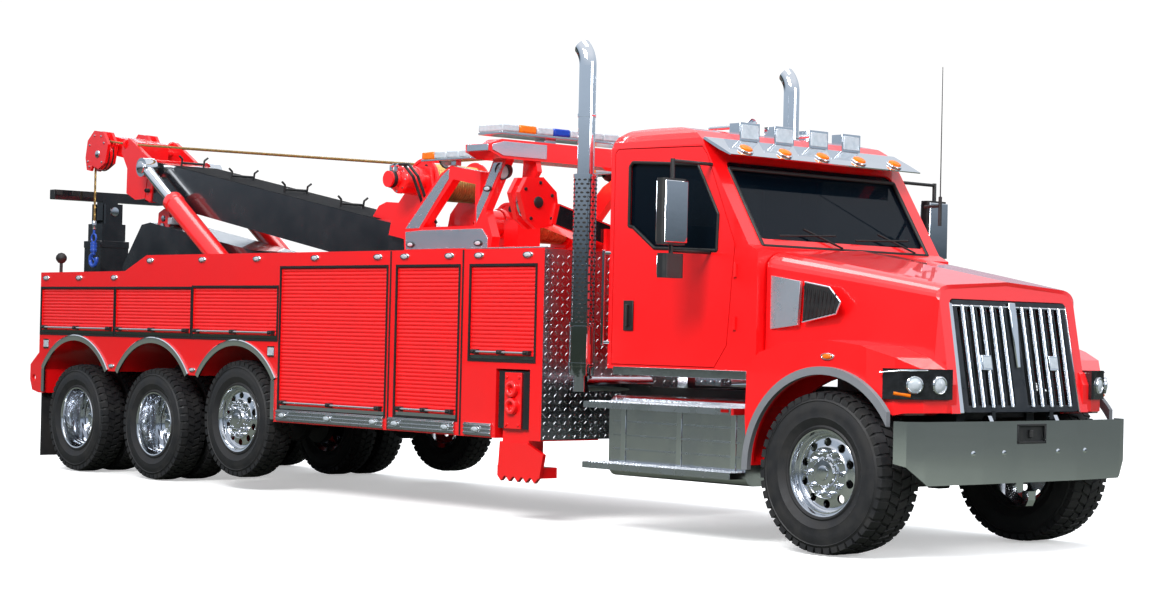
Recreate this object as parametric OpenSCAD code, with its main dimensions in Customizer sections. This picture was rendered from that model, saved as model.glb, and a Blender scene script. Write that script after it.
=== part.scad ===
// Heavy tow truck with a boom, an underlift and roll-up locker bodies.
// X forward, Y to the truck's left, Z up. The modules measure X from the steer axle.

/* [Axles] */
// Steer axle ahead of the middle of the truck
front_axle_x = 5242; // [5142:1:5342]
// Steer axle to pusher axle
pusher_back = 6740; // [6600:10:6800]
// Steer axle to first drive axle
drive_back = 8095; // [8060:5:8140]
// Spacing of the two drive axles
tandem = 1370; // [1340:5:1400]
// Height that the pusher axle is held above the road
pusher_lift = 105; // [60:5:140]

/* [Wheels] */
// Radius of a steer tyre
steer_tyre_r = 545; // [500:5:555]
// Width of a steer tyre
steer_tyre_w = 400; // [320:5:410]
// Radius of a drive or pusher tyre
drive_tyre_r = 515; // [480:5:530]
// Width of a drive or pusher tyre
drive_tyre_w = 275; // [240:5:290]
// Spacing of the two tyres of a twin wheel
twin_spacing = 335; // [310:5:345]
// Radius of the bead seat
bead_r = 286; // [280:1:290]
// Middle of the steer tyre from the centre line
steer_half_track = 1060; // [1040:5:1080]
// Kingpin from the centre line
kingpin_y = 940; // [920:5:950]

/* [Chassis] */
// Width over the two rails
rail_spread = 860; // [820:10:880]
// Width of one rail
rail_w = 85; // [70:5:95]
// Depth of a rail
rail_h = 270; // [240:10:290]
// Height of the rails' top
rail_top = 1040; // [1020:5:1060]

/* [Cab] */
// Width of the cab
cab_w = 2100; // [2040:10:2160]
// Back of the cab behind the steer axle
cab_back = 2270; // [2220:10:2300]
// Thickness of a door or cab wall
cab_wall = 50; // [35:5:60]
// Gap around a door
door_gap = 6; // [5:1:9]
// Thickness of the window glass
glass_t = 6; // [4:1:10]

/* [Body] */
// Width of the recovery body
body_w = 2590; // [2540:10:2600]
// Front of the body behind the steer axle
body_front_back = 2720; // [2700:10:2740]
// Tail of the body behind the steer axle
body_tail_back = 10150; // [10120:10:10180]
// Height of the body's top
body_top = 2065; // [2050:5:2080]
// Height of the low top at the tail
tail_top = 1915; // [1900:5:1930]
// Height of the body's lower edge
body_bottom = 620; // [600:10:640]
// Depth of a locker, from the side towards the middle
locker_d = 595; // [560:5:600]
// Thickness of the body's walls
body_wall = 30; // [20:2:40]
// Radius of a wheel arch
arch_r = 715; // [700:5:730]

/* [Boom] */
// Boom's rise at rest
boom_tilt = 10.2; // [9:0.2:12]
// Length of the outer boom from its pivot
boom_l = 4780; // [4600:10:4850]
// Width of the outer boom
boom_w = 560; // [520:10:570]
// Height of the outer boom
boom_h = 400; // [370:10:410]
// Thickness of the boom's plates
boom_wall = 25; // [16:1:30]
// Running gap between the boom's sections
boom_gap = 8; // [6:1:12]
// Outer diameter of a lift barrel
barrel_d = 196; // [160:4:196]
// Diameter of a lift rod
rod_d = 110; // [80:5:120]

/* [Underlift] */
// Side of the underlift's outer tube
arm_side = 330; // [300:10:336]
// Side of the stinger's tube
stinger_side = 280; // [250:10:284]
// Length of the crossbar
crossbar_l = 1300; // [1100:10:1400]

/* [Hidden] */
$fn = 48;
eps = 0.3;

SIDES = ["right", "left"];
AXLE_SETS = ["steer", "pusher", "drive_front", "drive_rear"];

// Places worked out from the driving sizes
half_cab = cab_w / 2;
half_body = body_w / 2;
rail_y = rail_spread / 2 - rail_w;
rail_bottom = rail_top - rail_h;
pusher_x = -pusher_back;
drive_x = [-drive_back, -drive_back - tandem];
pusher_z = drive_tyre_r + pusher_lift;
body_front = -body_front_back;
body_tail = -body_tail_back;
locker_y = half_body - locker_d;
deck_top = 1270;
deck_t = 30;
arch_z = 555;
arch_half = 585;
arch_flat = 980;
boom_pivot = [-5150, 2030];
lift_base = [-7350, 1380];
lift_pin = [4677, 134];
fold_pivot = [-11100, 650];
hinge_hood = [690, 930];
twin_y = half_body - 10 - drive_tyre_w / 2;

// ---------- helpers ----------
module from_axle() translate([front_axle_x, 0, 0]) children();

// Box between two corners
module block(x, y, z) translate([x[0], y[0], z[0]])
    cube([x[1] - x[0], y[1] - y[0], z[1] - z[0]]);

// Extrudes an X-Z outline from y0 to y1
module side_plate(y0, y1) translate([0, y1, 0]) rotate([90, 0, 0])
    linear_extrude(y1 - y0) children();

// Extrudes a Y-Z outline from x0 to x1
module cross_plate(x0, x1) translate([x0, 0, 0]) rotate([90, 0, 90])
    linear_extrude(x1 - x0) children();

// The same piece on both sides
module both() { children(); mirror([0, 1, 0]) children(); }

// Round bar along Y, along X
module bar_y(x, y, z, r) translate([x, y[0], z]) rotate([-90, 0, 0]) cylinder(h = y[1] - y[0], r = r);
module bar_x(x, y, z, r) translate([x[0], y, z]) rotate([0, 90, 0]) cylinder(h = x[1] - x[0], r = r);

// Rectangle with rounded corners, between two corners
function round_rect(a, b, r, n = 5) = [
    for (c = [[b[0] - r, b[1] - r, 0], [a[0] + r, b[1] - r, 90], [a[0] + r, a[1] + r, 180],
              [b[0] - r, a[1] + r, 270]], i = [0:n])
        [c[0] + r * cos(c[2] + 90 * i / n), c[1] + r * sin(c[2] + 90 * i / n)]];

// Side of the truck a name ends in: right is -1, left is 1
function side_of(side) = side == "right" ? -1 : 1;
module on_side(side) mirror([0, side == "right" ? 0 : 1, 0]) children();

// ---------- wheels ----------
// Tyre outline: radius against width, with rounded shoulders and a bulged sidewall
function tyre_outline(r, w, bead) = concat(
    [[bead_r, bead / 2], [bead_r + 22, bead / 2 + 6], [(bead_r + r) / 2 - 20, w / 2 - 4],
     [(bead_r + r) / 2 + 20, w / 2], [r - 50, w / 2 - 8]],
    [for (a = [15:25:90]) [r - 42 + 42 * sin(a), w / 2 - 52 + 42 * cos(a)]],
    [for (a = [90:-25:15]) [r - 42 + 42 * sin(a), -w / 2 + 52 - 42 * cos(a)]],
    [[r - 50, -w / 2 + 8], [(bead_r + r) / 2 + 20, -w / 2], [(bead_r + r) / 2 - 20, -w / 2 + 4],
     [bead_r + 22, -bead / 2 - 6], [bead_r, -bead / 2]]);

module tyre(r, w, bead) rotate([90, 0, 0]) rotate_extrude()
    polygon(tyre_outline(r, w, bead));

// Wheel: a barrel with lips, and a disc with ten hand holes at disc_y towards the outside
module rim(bead, disc_y, hub_out, hub_in) {
    seat = bead_r - eps;
    rotate([90, 0, 0]) {
        rotate_extrude() polygon([
            [seat - 10, -bead / 2 - 14], [seat + 12, -bead / 2 - 14], [seat + 12, -bead / 2 - 7],
            [seat, -bead / 2 - 6], [seat, bead / 2 + 6], [seat + 12, bead / 2 + 7],
            [seat + 12, bead / 2 + 14], [seat - 10, bead / 2 + 14]]);
        difference() {
            translate([0, 0, disc_y - 12]) cylinder(h = 24, r = seat - 9);
            for (a = [0:36:359]) rotate(a + 18) translate([205, 0, disc_y - 20])
                cylinder(h = 40, r = 28);
        }
        translate([0, 0, disc_y + hub_in]) cylinder(h = hub_out - hub_in, r = 108);
        // Skirt from the barrel to a disc that lies beside the tyre
        if (abs(disc_y) > bead / 2 + 14) difference() {
            translate([0, 0, min(disc_y - 12, bead / 2)])
                cylinder(h = abs(disc_y) + 12 - bead / 2, r = seat - 2);
            translate([0, 0, -2 * bead]) cylinder(h = 4 * bead, r = seat - 12);
        }
    }
}

steer_bead = steer_tyre_w - 100;
drive_bead = drive_tyre_w - 62;

// Steer wheel of the right side, its outer face towards -Y
module steer_wheel() translate([0, -steer_half_track, steer_tyre_r]) {
    tyre(steer_tyre_r, steer_tyre_w, steer_bead);
    rim(steer_bead, steer_bead / 2 - 40, 70, kingpin_y + 76 - steer_half_track + 40 - steer_bead / 2);
}

module pusher_wheel() translate([pusher_x, -twin_y, pusher_z]) {
    tyre(drive_tyre_r, drive_tyre_w, drive_bead);
    rim(drive_bead, drive_bead / 2 - 30, 70, 770 - twin_y + 30 - drive_bead / 2);
}

module twin_wheel(x) translate([x, 0, drive_tyre_r]) {
    for (y = [twin_y, twin_y - twin_spacing]) translate([0, -y, 0])
        tyre(drive_tyre_r, drive_tyre_w, drive_bead);
    translate([0, -twin_y, 0]) rim(drive_bead, 12 - twin_spacing / 2 + eps, 120, 0);
    translate([0, twin_spacing - twin_y, 0])
        rim(drive_bead, twin_spacing / 2 - 12 - eps, 12, 770 + twin_spacing / 2 + 12 + 2 * eps - twin_y);
}

module wheel(set, side) color("dimgray") from_axle() on_side(side)
    if (set == "steer") steer_wheel();
    else if (set == "pusher") pusher_wheel();
    else twin_wheel(drive_x[set == "drive_front" ? 0 : 1]);

// ---------- chassis ----------
module frame_rails() color("#1b1b1d") from_axle() {
    both() block([-10000, 480], [rail_y, rail_y + rail_w], [rail_bottom, rail_top]);
    for (x = [400, -1900, -3600, -5600, -7400, -8780]) {
        block([x - 60, x + 60], [-rail_y, rail_y], [rail_top - 120, rail_top]);
    }
}

module front_suspension() color("#26272a") from_axle() {
    axle_end = kingpin_y - 55 - eps;
    side_plate(-50, 50) polygon(round_rect([-60, 410], [60, 510], 15));
    both() {
        block([-55, 55], [50, axle_end], [430, 530]);
        // Leaf spring under the rail, with its hangers
        side_plate(rail_y, rail_y + rail_w) polygon([[-820, 700], [-400, 600], [0, 562 + eps],
            [300, 610], [450, 690], [450, 730], [300, 655], [0, 610], [-400, 650], [-820, 745]]);
        for (x = [-840, 410]) block([x, x + 40], [rail_y, rail_y + rail_w], [700, rail_bottom]);
        block([-80, 80], [rail_y, rail_y + rail_w], [530 + eps, 562]);
    }
}

module knuckle(side) color("#26272a") from_axle() on_side(side) {
    translate([0, -kingpin_y, steer_tyre_r - 130]) cylinder(h = 260, r = 55);
    bar_y(0, [-kingpin_y - 76 + eps, -kingpin_y], steer_tyre_r, 42);
}

module axle_tube(x, z) {
    bar_y(x, [-770 + eps, 770 - eps], z, 62);
    both() bar_y(x, [585, 655], z, 200);
}

module rear_axles() color("#26272a") from_axle() {
    axle_tube(pusher_x, pusher_z);
    for (x = drive_x) {
        axle_tube(x, drive_tyre_r);
        translate([x, 0, drive_tyre_r]) rotate([90, 0, 0]) sphere(r = 200);
    }
}

module rear_suspension() color("#26272a") from_axle() both() {
    mid = (drive_x[0] + drive_x[1]) / 2;
    // Equalizer beam above the two drive axles, hung from the rail's trunnion
    side_plate(470, 560) polygon([
        [drive_x[1] - 90, 595], [drive_x[1] + 90, 595], [mid - 150, 640], [mid + 150, 640],
        [drive_x[0] - 90, 595], [drive_x[0] + 90, 595], [drive_x[0] + 90, 680],
        [mid, 760], [drive_x[1] - 90, 680]]);
    for (x = drive_x) block([x - 70, x + 70], [480, 550], [drive_tyre_r + 62 + eps, 595]);
    block([mid - 120, mid + 120], [rail_spread / 2, 560], [720, 900]);
    // Air spring of the pusher axle
    translate([pusher_x - 40, rail_y + rail_w / 2, pusher_z + 62 + eps])
        cylinder(h = rail_bottom - pusher_z - 62 - 2 * eps, r = 70);
}

module powertrain() color("#3a3b3e") from_axle() {
    block([-700, 320], [-280, 280], [900, 1640]);
    block([-1560, -700 - eps], [-190, 190], [720, 1080]);
    block([410, 470], [-430, 430], [rail_top + eps, 1600]);
    // Drive shafts to the first axle and between the axles
    front_end = drive_x[0] + 200 + eps;
    bar_x([-6900, -1560 - eps], 0, 800, 48);
    hull() {
        bar_x([-6930, -6900 - eps], 0, 800, 40);
        bar_x([front_end, front_end + 10], 0, 560, 40);
    }
    bar_x([drive_x[1] + 200 + eps, drive_x[0] - 200 - eps], 0, drive_tyre_r, 42);
}

// ---------- front ----------
bumper_z = [500, 912];
bumper_x = 745;
function bumper_outline(o) = [[600, -1228 + o], [690, -1205 + o], [bumper_x - o, -1080], [bumper_x + 35 - o, -520],
    [bumper_x + 35 - o, 520], [bumper_x - o, 1080], [690, 1205 - o], [600, 1228 - o]];

module bumper() color("#dfe3e8") from_axle() {
    difference() {
        translate([0, 0, bumper_z[0]]) linear_extrude(bumper_z[1] - bumper_z[0])
            difference() {
                polygon(bumper_outline(0));
                polygon(concat(bumper_outline(14), [[500, 1300], [500, -1300]]));
            }
        // Lower corners cut away
        both() cross_plate(500, 900) polygon([[1000, 450], [1300, 450], [1300, 700]]);
        // Tow pin opening
        block([600, 900], [-150, 150], [770, 880]);
    }
    // Brackets to the rails and the tow eye under the middle
    both() block([480 + eps, 766], [rail_y, rail_y + 40], [780, 900]);
    side_plate(-40, 40) polygon([[600, 400], [700, 340], [770, 340], [790, 380], [790, 440],
        [740, 440], [740, 395], [690, 430], [690, 499], [600, 499]]);
    block([600, 766], [-60, 60], [499, 560]);
    // Lugs and pins of the hood's hinge
    both() {
        side_plate(rail_y, rail_y + 40) polygon([[650, 899], [730, 899],
            [hinge_hood[0] + 15, hinge_hood[1] + 15], [hinge_hood[0] - 15, hinge_hood[1] + 15]]);
        bar_y(hinge_hood[0], [rail_y - 45, rail_y + 1], hinge_hood[1], 12);
    }
}

hood_top_back = 2035;
hood_top_front = 1800;
// Half of a hood section at a share t of its length, from the bottom up to the crown
function hood_half(t, o) = let (
        w = (965 - o) * (1 - t) + (745 - o) * t,
        z = (hood_top_back - o) * (1 - t) + (hood_top_front - o) * t - 20 * t * t,
        r = 210 - 60 * t)
    concat([[w + 10, 960 - 2 * o]], [[w + 4, 1300]],
        [for (a = [0:15:90]) [w - r + r * cos(a), z - 0.55 * r + 0.55 * r * sin(a)]],
        [[0, z + 35]]);
function hood_ring(t, o) = let (h = hood_half(t, o))
    concat(h, [for (i = [len(h) - 2:-1:0]) [-h[i][0], h[i][1]]]);
hood_x = [-765, 700];
// X of a section: the front leans back towards the top
function hood_point(t, p, o, back, front) = [
    back + (front - back) * t - (t > 0.99 ? 150 * max(0, p[1] - 960) / 840 : 0), p[0], p[1]];

module hood_solid(o, back, front) {
    steps = [0, 0.25, 0.5, 0.75, 0.9, 1];
    n = len(hood_ring(0, o));
    points = [for (t = steps, p = hood_ring(t, o)) hood_point(t, p, o, back, front)];
    polyhedron(points, concat(
        [[for (i = [0:n - 1]) i]],
        [for (s = [0:len(steps) - 2], i = [0:n - 1])
            [(s + 1) * n + i, (s + 1) * n + (i + 1) % n, s * n + (i + 1) % n, s * n + i]],
        [[for (i = [n - 1:-1:0]) (len(steps) - 1) * n + i]]), convexity = 4);
}

fender_outer = 1215;
flare_r = 648;
module fender_outline() polygon([[-645, 560], [-690, 560], [-718, 900], [-705, 1230],
    [-600, 1330], [-350, 1400], [0, 1425], [300, 1395], [520, 1320], [660, 1230], [690, 1150],
    [690, 965], [560, 960]]);

module fender_plan(o) polygon([[-720, 700], [-720, fender_outer - o], [350 - o / 2, fender_outer - o],
    [520 - o, 1130 - o], [640 - o, 980 - o], [690 - o, 800 - o], [690 - o, 700]]);

module fender() difference() {
    intersection() {
        side_plate(700, fender_outer) fender_outline();
        translate([0, 0, 400]) linear_extrude(1200) fender_plan(0);
    }
    // Hollow under the skin
    intersection() {
        side_plate(660, fender_outer - 22) offset(delta = -22) fender_outline();
        translate([0, 0, 400]) linear_extrude(1200) fender_plan(22);
    }
    bar_y(0, [600, 1300], steer_tyre_r, flare_r);
    headlamp_shape(0, 940);
}

// Lamp block that wraps round the front corner
module headlamp_shape(o, inner) translate([0, 0, 1050 + o])
    linear_extrude(200 - 2 * o) polygon([[390, 1160 + inner - 940 - 60], [470, 1190], [560, 1128],
        [672, 978], [712, 800 + o], [712, 770 + o], [600, 770 + o], [500, 960]]);

module hood() color("#e01f26") from_axle() {
    difference() {
        hood_solid(0, hood_x[0], hood_x[1]);
        hood_solid(25, hood_x[0] - 10, hood_x[1] - 25);
        // Open below, at the wheels and behind the grille
        block([-900, 800], [-1200, 1200], [900, 962]);
        both() bar_y(0, [700, 1300], steer_tyre_r, flare_r);
        cross_plate(520, 800) polygon(round_rect([-640, 900], [640, 1715], 30));
    }
    both() fender();
}

module grille() color("#cfd4da") from_axle() {
    // Slotted plate that leans back with the hood's front
    translate([690, 0, 966]) rotate([0, -atan2(150, 840), 0]) translate([-30, 0, 0])
        cross_plate(0, 45) difference() {
            polygon(round_rect([-640 + eps, 0], [640 - eps, 752], 34));
            for (s = [-1, 1], i = [0:4])
                translate([s * (115 + i * 105) - 45, 44]) square([90, 660]);
        }
    // Hinge lugs below the plate
    both() difference() {
        side_plate(rail_y - 42, rail_y - 5) polygon([[hinge_hood[0] - 18, hinge_hood[1] - 14],
            [hinge_hood[0] + 18, hinge_hood[1] - 14], [hinge_hood[0] + 16, 980],
            [hinge_hood[0] - 20, 980]]);
        bar_y(hinge_hood[0], [200, 400], hinge_hood[1], 12 + eps);
    }
}

module headlamps() color("#dfe6ee") from_axle() both() headlamp_shape(1.5, 940);

module fender_flares() color("#4a4c50") from_axle() both() intersection() {
    difference() {
        bar_y(0, [fender_outer + eps, fender_outer + 40], steer_tyre_r, flare_r + 55);
        bar_y(0, [fender_outer - 10, fender_outer + 60], steer_tyre_r, flare_r + 2);
    }
    block([-800, 560], [1000, 1400], [530, 1300]);
}

// ---------- cab ----------
cab_floor = 1180;
roof_z = 2945;
module cab_outline() polygon([[-cab_back, cab_floor], [-800, cab_floor], [-780, 1250], [-780, 2030],
    [-870, 2075], [-1260, 2700], [-1340, 2830], [-1450, 2900], [-1650, roof_z - 8], [-1900, roof_z],
    [-cab_back + 120, roof_z - 15], [-cab_back + 40, 2880], [-cab_back, 2800]]);

module cab_envelope(o) intersection() {
    side_plate(-half_cab + o, half_cab - o) offset(delta = -o) cab_outline();
    cross_plate(-cab_back - 100, -600)
        polygon(round_rect([-half_cab + o, 900], [half_cab - o, roof_z - o], 150 - o));
}

module door_outline() polygon([[-cab_back + 45, 1215], [-1180, 1215], [-1065, 1370], [-1010, 2000],
    [-1000, 2075], [-1290, 2720], [-1340, 2775], [-cab_back + 75, 2790], [-cab_back + 45, 2760]]);

module door_window() polygon([[-2070, 2225], [-2025, 2215], [-1800, 2060], [-1175, 2035],
    [-1165, 2290], [-1375, 2650], [-2040, 2690], [-2070, 2660]]);

windscreen_lean = atan2(390, 625);
module windscreen(o, t, d) translate([-870, 0, 2075]) rotate([0, -windscreen_lean, 0])
    translate([d, 0, 385]) rotate([0, 90, 0]) linear_extrude(t, center = true)
        polygon(round_rect([-330 + o, -912 + o], [330 - o, 912 - o], 60));

module cab_shell() color("#e01f26") from_axle() {
    cab_walls();
    // Barrels of the door hinges
    both() for (z = [1480, 1850]) translate([-985, half_cab + 8, z]) cylinder(h = 90, r = 14);
}

module cab_walls() difference() {
    cab_envelope(0);
    cab_envelope(cab_wall);
    for (s = [-1, 1]) side_plate(s > 0 ? half_cab - cab_wall - 5 : -half_cab - 10,
                                 s > 0 ? half_cab + 10 : -half_cab + cab_wall + 5)
        offset(delta = door_gap) door_outline();
    windscreen(0, 400, 0);
    // Rear window
    cross_plate(-cab_back - 20, -cab_back + 120)
        polygon(round_rect([-560, 2150], [560, 2620], 50));
}

module cab_glass() color("#9fb4c4", 0.4) from_axle() {
    windscreen(0.5, glass_t, -20);
    cross_plate(-cab_back + 20, -cab_back + 20 + glass_t)
        polygon(round_rect([-559.5, 2150.5], [559.5, 2619.5], 49.5));
}

module cab_interior() color("#2b2c30") from_axle() {
    floor_z = cab_floor + cab_wall + eps;
    both() {
        block([-1950, -1480], [260, 760], [floor_z, 1560]);
        side_plate(270, 750) polygon([[-1960, 1560 + eps], [-1830, 1560 + eps], [-1960, 2250],
            [-2080, 2250]]);
    }
    side_plate(-900, 900) polygon([[-830.3, floor_z + 420], [-830.3, 1990], [-1010, 2000], [-1160, 1900],
        [-1160, 1760]]);
    // Steering column and wheel in front of the left seat
    translate([-1165, 510, 1890]) rotate([0, -60, 0]) {
        translate([0, 0, -40]) cylinder(h = 200, r = 28);
        translate([0, 0, 136]) difference() {
            cylinder(h = 30, r = 226);
            translate([0, 0, -5]) cylinder(h = 40, r = 196);
        }
        for (a = [30, 150, 270]) rotate(a) translate([10, -14, 142]) cube([195, 28, 12]);
    }
}

module roof_trim() color("#dfe3e8") from_axle() {
    // Sun visor over the windscreen
    side_plate(-1045, 1045) polygon([[-1339.7, 2830.7], [-1325, 2846], [-1170, 2770], [-1060, 2712],
        [-1066, 2704], [-1180, 2750], [-1325, 2826]]);
    // Four square lamps on the roof's slope
    for (y = [-560, -190, 190, 560]) side_plate(y - 100, y + 100)
        polygon([[-1449, 2900], [-1350, 2837], [-1350, 2975], [-1449, 2975]]);
}

module door(side) color("#e01f26") from_axle() on_side(side) {
    difference() {
        intersection() {
            difference() { cab_envelope(0); cab_envelope(cab_wall); }
            side_plate(-half_cab - 5, -half_cab + cab_wall) door_outline();
        }
        side_plate(-half_cab - 10, -half_cab + 220) door_window();
    }
}

module door_glass(side) color("#9fb4c4", 0.4) from_axle() on_side(side)
    side_plate(-half_cab + 20, -half_cab + 20 + glass_t) offset(delta = -0.5) door_window();

mirror_y = 1440;
module mirror_unit(side) color("#303236") from_axle() on_side(side) {
    translate([-1240, -mirror_y, 0]) {
        translate([0, 0, 2060]) linear_extrude(460)
            polygon(round_rect([-50, -115], [40, 115], 30));
        translate([0, 0, 1830]) linear_extrude(170)
            polygon(round_rect([-50, -100], [40, 100], 30));
        translate([0, 0, 1840]) cylinder(h = 820, r = 16, $fn = 10);
    }
    for (z = [2020, 2644])
        bar_y(-1240, [-mirror_y, -half_cab - eps], z, 13, $fn = 10);
}

// ---------- tanks, steps, exhaust ----------
tank_x = [-2150, -780];
module tanks_and_steps() color("#c9cdd2") from_axle() both() {
    cross_plate(tank_x[0], tank_x[1]) polygon(round_rect([500, 400], [1130, 985], 80));
    // Steps on the tank's outer face, and straps up to the rail
    for (z = [455, 895]) block([tank_x[0] - 100, tank_x[1] + 10], [1100, half_body], [z, z + 45]);
    for (x = [-1950, -1000]) block([x, x + 60], [rail_spread / 2, 520], [800, 880]);
    // Cab supports over the rail
    for (x = [-2150, -1000])
        block([x, x + 100], [rail_y, rail_y + rail_w], [rail_top + eps, cab_floor - eps]);
}

stack_x = -2470;
stack_y = 1125;
stack_top = 3420;
module exhaust_stacks() color("#dfe3e8") from_axle() both() {
    translate([stack_x, stack_y, 1120]) {
        cylinder(h = stack_top - 1120, r = 64);
        cylinder(h = 360, r = 96);
        translate([0, 0, 360]) cylinder(h = 1060, r = 78);
    }
    // Mouth curved towards the tail
    translate([stack_x, stack_y, stack_top]) translate([-200, 0, 0]) rotate([90, 0, 0])
        rotate_extrude(angle = 48) translate([200, 0]) circle(r = 64);
    // Elbow and pipe from the rail
    bar_y(stack_x, [rail_spread / 2 + eps, stack_y], 1060, 60);
    translate([stack_x, stack_y, 1000]) cylinder(h = 121, r = 60);
}

// ---------- recovery body ----------
function shutter_set() = [
    [-10120, -8780, 1325, 1755], [-8745, -7470, 1325, 1755], [-7435, -6135, 1325, 1765],
    [-6080, -4620, 735, 1930], [-4480, -3710, 745, 1930], [-3560, -2810, 1220, 1930]];
arch_x = [for (x = [pusher_x, drive_x[0], drive_x[1]]) x];
pocket_x = [-3240, -2850];
pocket_z = [body_bottom - 10, 1150];

module arch(x, ends) intersection() {
    translate([x, arch_z]) circle(r = arch_r, $fn = 96);
    translate([x - arch_half, 0]) square([2 * arch_half, 2000]);
}

module body_outline() difference() {
    polygon([[body_tail, 735], [body_tail, tail_top], [-8600, tail_top + 5], [-8230, body_top],
        [body_front, body_top], [body_front, body_bottom], [arch_x[0] + 540, body_bottom],
        [arch_x[0] + 540, 500], [body_tail, 500]]);
    for (x = arch_x) arch(x);
    for (x = arch_x) translate([x - arch_half, 400]) square([2 * arch_half, arch_z - 400 + 5]);
    translate([arch_x[2], 400]) square([arch_x[0] - arch_x[2], arch_flat - 400]);
    translate([body_tail - 10, 400]) square([arch_x[2] - body_tail, 335]);
}

// A locker body: walls all round, an opening for each shutter
module locker_body() difference() {
    union() {
        side_plate(-half_body, -locker_y) body_outline();
        // Corner plate that stands out behind the tail, with its towing eye
        difference() {
            side_plate(-half_body, -half_body + body_wall) polygon([[body_tail + 1, 735],
                [body_tail - 120, 760], [body_tail - 165, 860], [body_tail - 165, 1010],
                [body_tail + 1, 1130]]);
            bar_y(body_tail - 90, [-half_body - 10, -half_body + 60], 880, 32);
        }
    }
    for (s = shutter_set()) {
        block([s[0], s[1]], [-half_body - 10, -half_body + body_wall + 10], [s[2], s[3]]);
        top = min(s[3] + 90, s[0] < -8600 ? tail_top - body_wall : body_top - body_wall);
        block([s[0] - 8, s[1] + 8], [-half_body + body_wall, -locker_y - body_wall],
              [s[2] - 20, top]);
    }
    // Outrigger pocket, open at the side and below
    block(pocket_x, [-half_body - 10, -locker_y + 10], pocket_z);
}

module body_right() color("#e01f26") from_axle() locker_body();
module body_left() color("#e01f26") from_axle() mirror([0, 1, 0]) locker_body();

module shutters() color("#e01f26") from_axle() both() for (s = shutter_set())
    block([s[0] + 0.5, s[1] - 0.5], [half_body - body_wall + 2, half_body - 8],
          [s[2] + 0.5, s[3] - 0.5]);

module body_deck() color("#c41d22") from_axle() {
    // Deck between the lockers, on two bearers over the rails
    block([-9700, body_front - 40 - eps], [-locker_y + eps, locker_y - eps],
          [deck_top - deck_t, deck_top]);
    both() block([-9700, body_front - 40 - eps], [rail_y, rail_y + rail_w],
                 [rail_top + eps, deck_top - deck_t]);
    // Front wall and the cover that carries the winch and the side puller
    block([body_front - 40, body_front], [-locker_y + eps, locker_y - eps],
          [rail_top + eps, body_top]);
    block([-4560, body_front - 40 - eps], [-locker_y + eps, locker_y - eps],
          [body_top - deck_t, body_top]);
    for (x = [-4560, -3700]) block([x, x + 40], [-locker_y + eps, locker_y - eps],
        [deck_top + eps, body_top - deck_t - eps]);
    side_puller_bracket();
    both() outrigger_sleeve();
    // Tail plate between the corners, open at the middle for the mast
    both() block([body_tail + 10, body_tail + 50], [300, locker_y - eps], [740, deck_top]);
}

module mudflaps() color("#141416") from_axle() both()
    block([body_tail + 28, body_tail + 40], [720, half_body - 20], [120, 735 - eps]);

// ---------- pylon, lights, winches ----------
pylon_y = [860, 940];
module pylon_side() difference() {
    polygon([[-4850, body_top + eps], [-3760, body_top + eps], [-3740, 2180], [-3830, 2390],
        [-3590, 2780], [-3750, 2780], [-3900, 2500], [-3900, 2700], [-4280, 2760], [-4400, 2700],
        [-4870, 2270]]);
    polygon([[-4620, 2270], [-3960, 2270], [-3960, 2600], [-4240, 2650]]);
}

module pylon() color("#e01f26") from_axle() {
    both() side_plate(pylon_y[0], pylon_y[1]) pylon_side();
    both() side_plate(pylon_y[0] - 200, pylon_y[0] - 150) polygon([[-3650, 2780], [-3500, 2780],
        [-3480, 2700], [-3560, 2600], [-3800, 2500], [-3800, 2580], [-3660, 2660]]);
    // Cross beam with chamfered ends
    cross_plate(-3780, -3480) polygon([[-1200, 2830], [-1080, 2780], [1080, 2780], [1200, 2830],
        [1200, 2890], [1080, 2930], [-1080, 2930], [-1200, 2890]]);
}

module light_bars() color("#cfd8e2") from_axle() {
    for (y = [-500, 500]) block([-3690, -3570], [y - 60, y + 60], [2930 + eps, 2970]);
    translate([0, 0, 2970]) linear_extrude(85) polygon(round_rect([-3780, -1080], [-3480, 1080], 60));
    both() {
        translate([0, 0, 2800]) linear_extrude(80)
            polygon(round_rect([-4600, 800], [-3960, 990], 40));
        block([-4285, -4225], [870, 930], [2760 + eps, 2800]);
    }
}

module drum(w, r) {
    bar_y(0, [-w / 2, w / 2], 0, r * 0.72);
    for (y = [-w / 2 - 20, w / 2]) bar_y(0, [y, y + 20], 0, r);
}

module winch_lower() color("#e01f26") from_axle() {
    translate([-4300, 0, 2320]) {
        drum(560, 175);
        both() side_plate(310, 350) polygon([[-160, body_top + eps - 2320],
            [160, body_top + eps - 2320], [120, 60], [-120, 60]]);
        bar_y(0, [-310 - eps, -300 - eps], 0, 60);
        both() bar_y(0, [300 - eps, 310], 0, 60);
        bar_y(0, [-560, -350 - eps], 0, 110);
    }
    // Covered gearbox at the right front of the drum
    block([-3950, -3780], [-700 + 60, -400], [body_top + eps, 2330]);
}

// ---------- boom ----------
module on_boom() translate([boom_pivot[0], 0, boom_pivot[1]]) rotate([0, boom_tilt, 0])
    mirror([1, 0, 0]) children();

module boom_pedestal() color("#17181a") from_axle() {
    block([-5450, -4850], [-340, 340], [deck_top + eps, 1690]);
    both() difference() {
        side_plate(boom_w / 2 + 8, 340) polygon([[-5420, 1689], [-4880, 1689], [-5040, 2080],
            [-5090, 2150], [-5210, 2150], [-5260, 2080]]);
        bar_y(boom_pivot[0], [0, 400], boom_pivot[1], 61);
    }
    bar_y(boom_pivot[0], [-340, 340], boom_pivot[1], 60);
}

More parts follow.
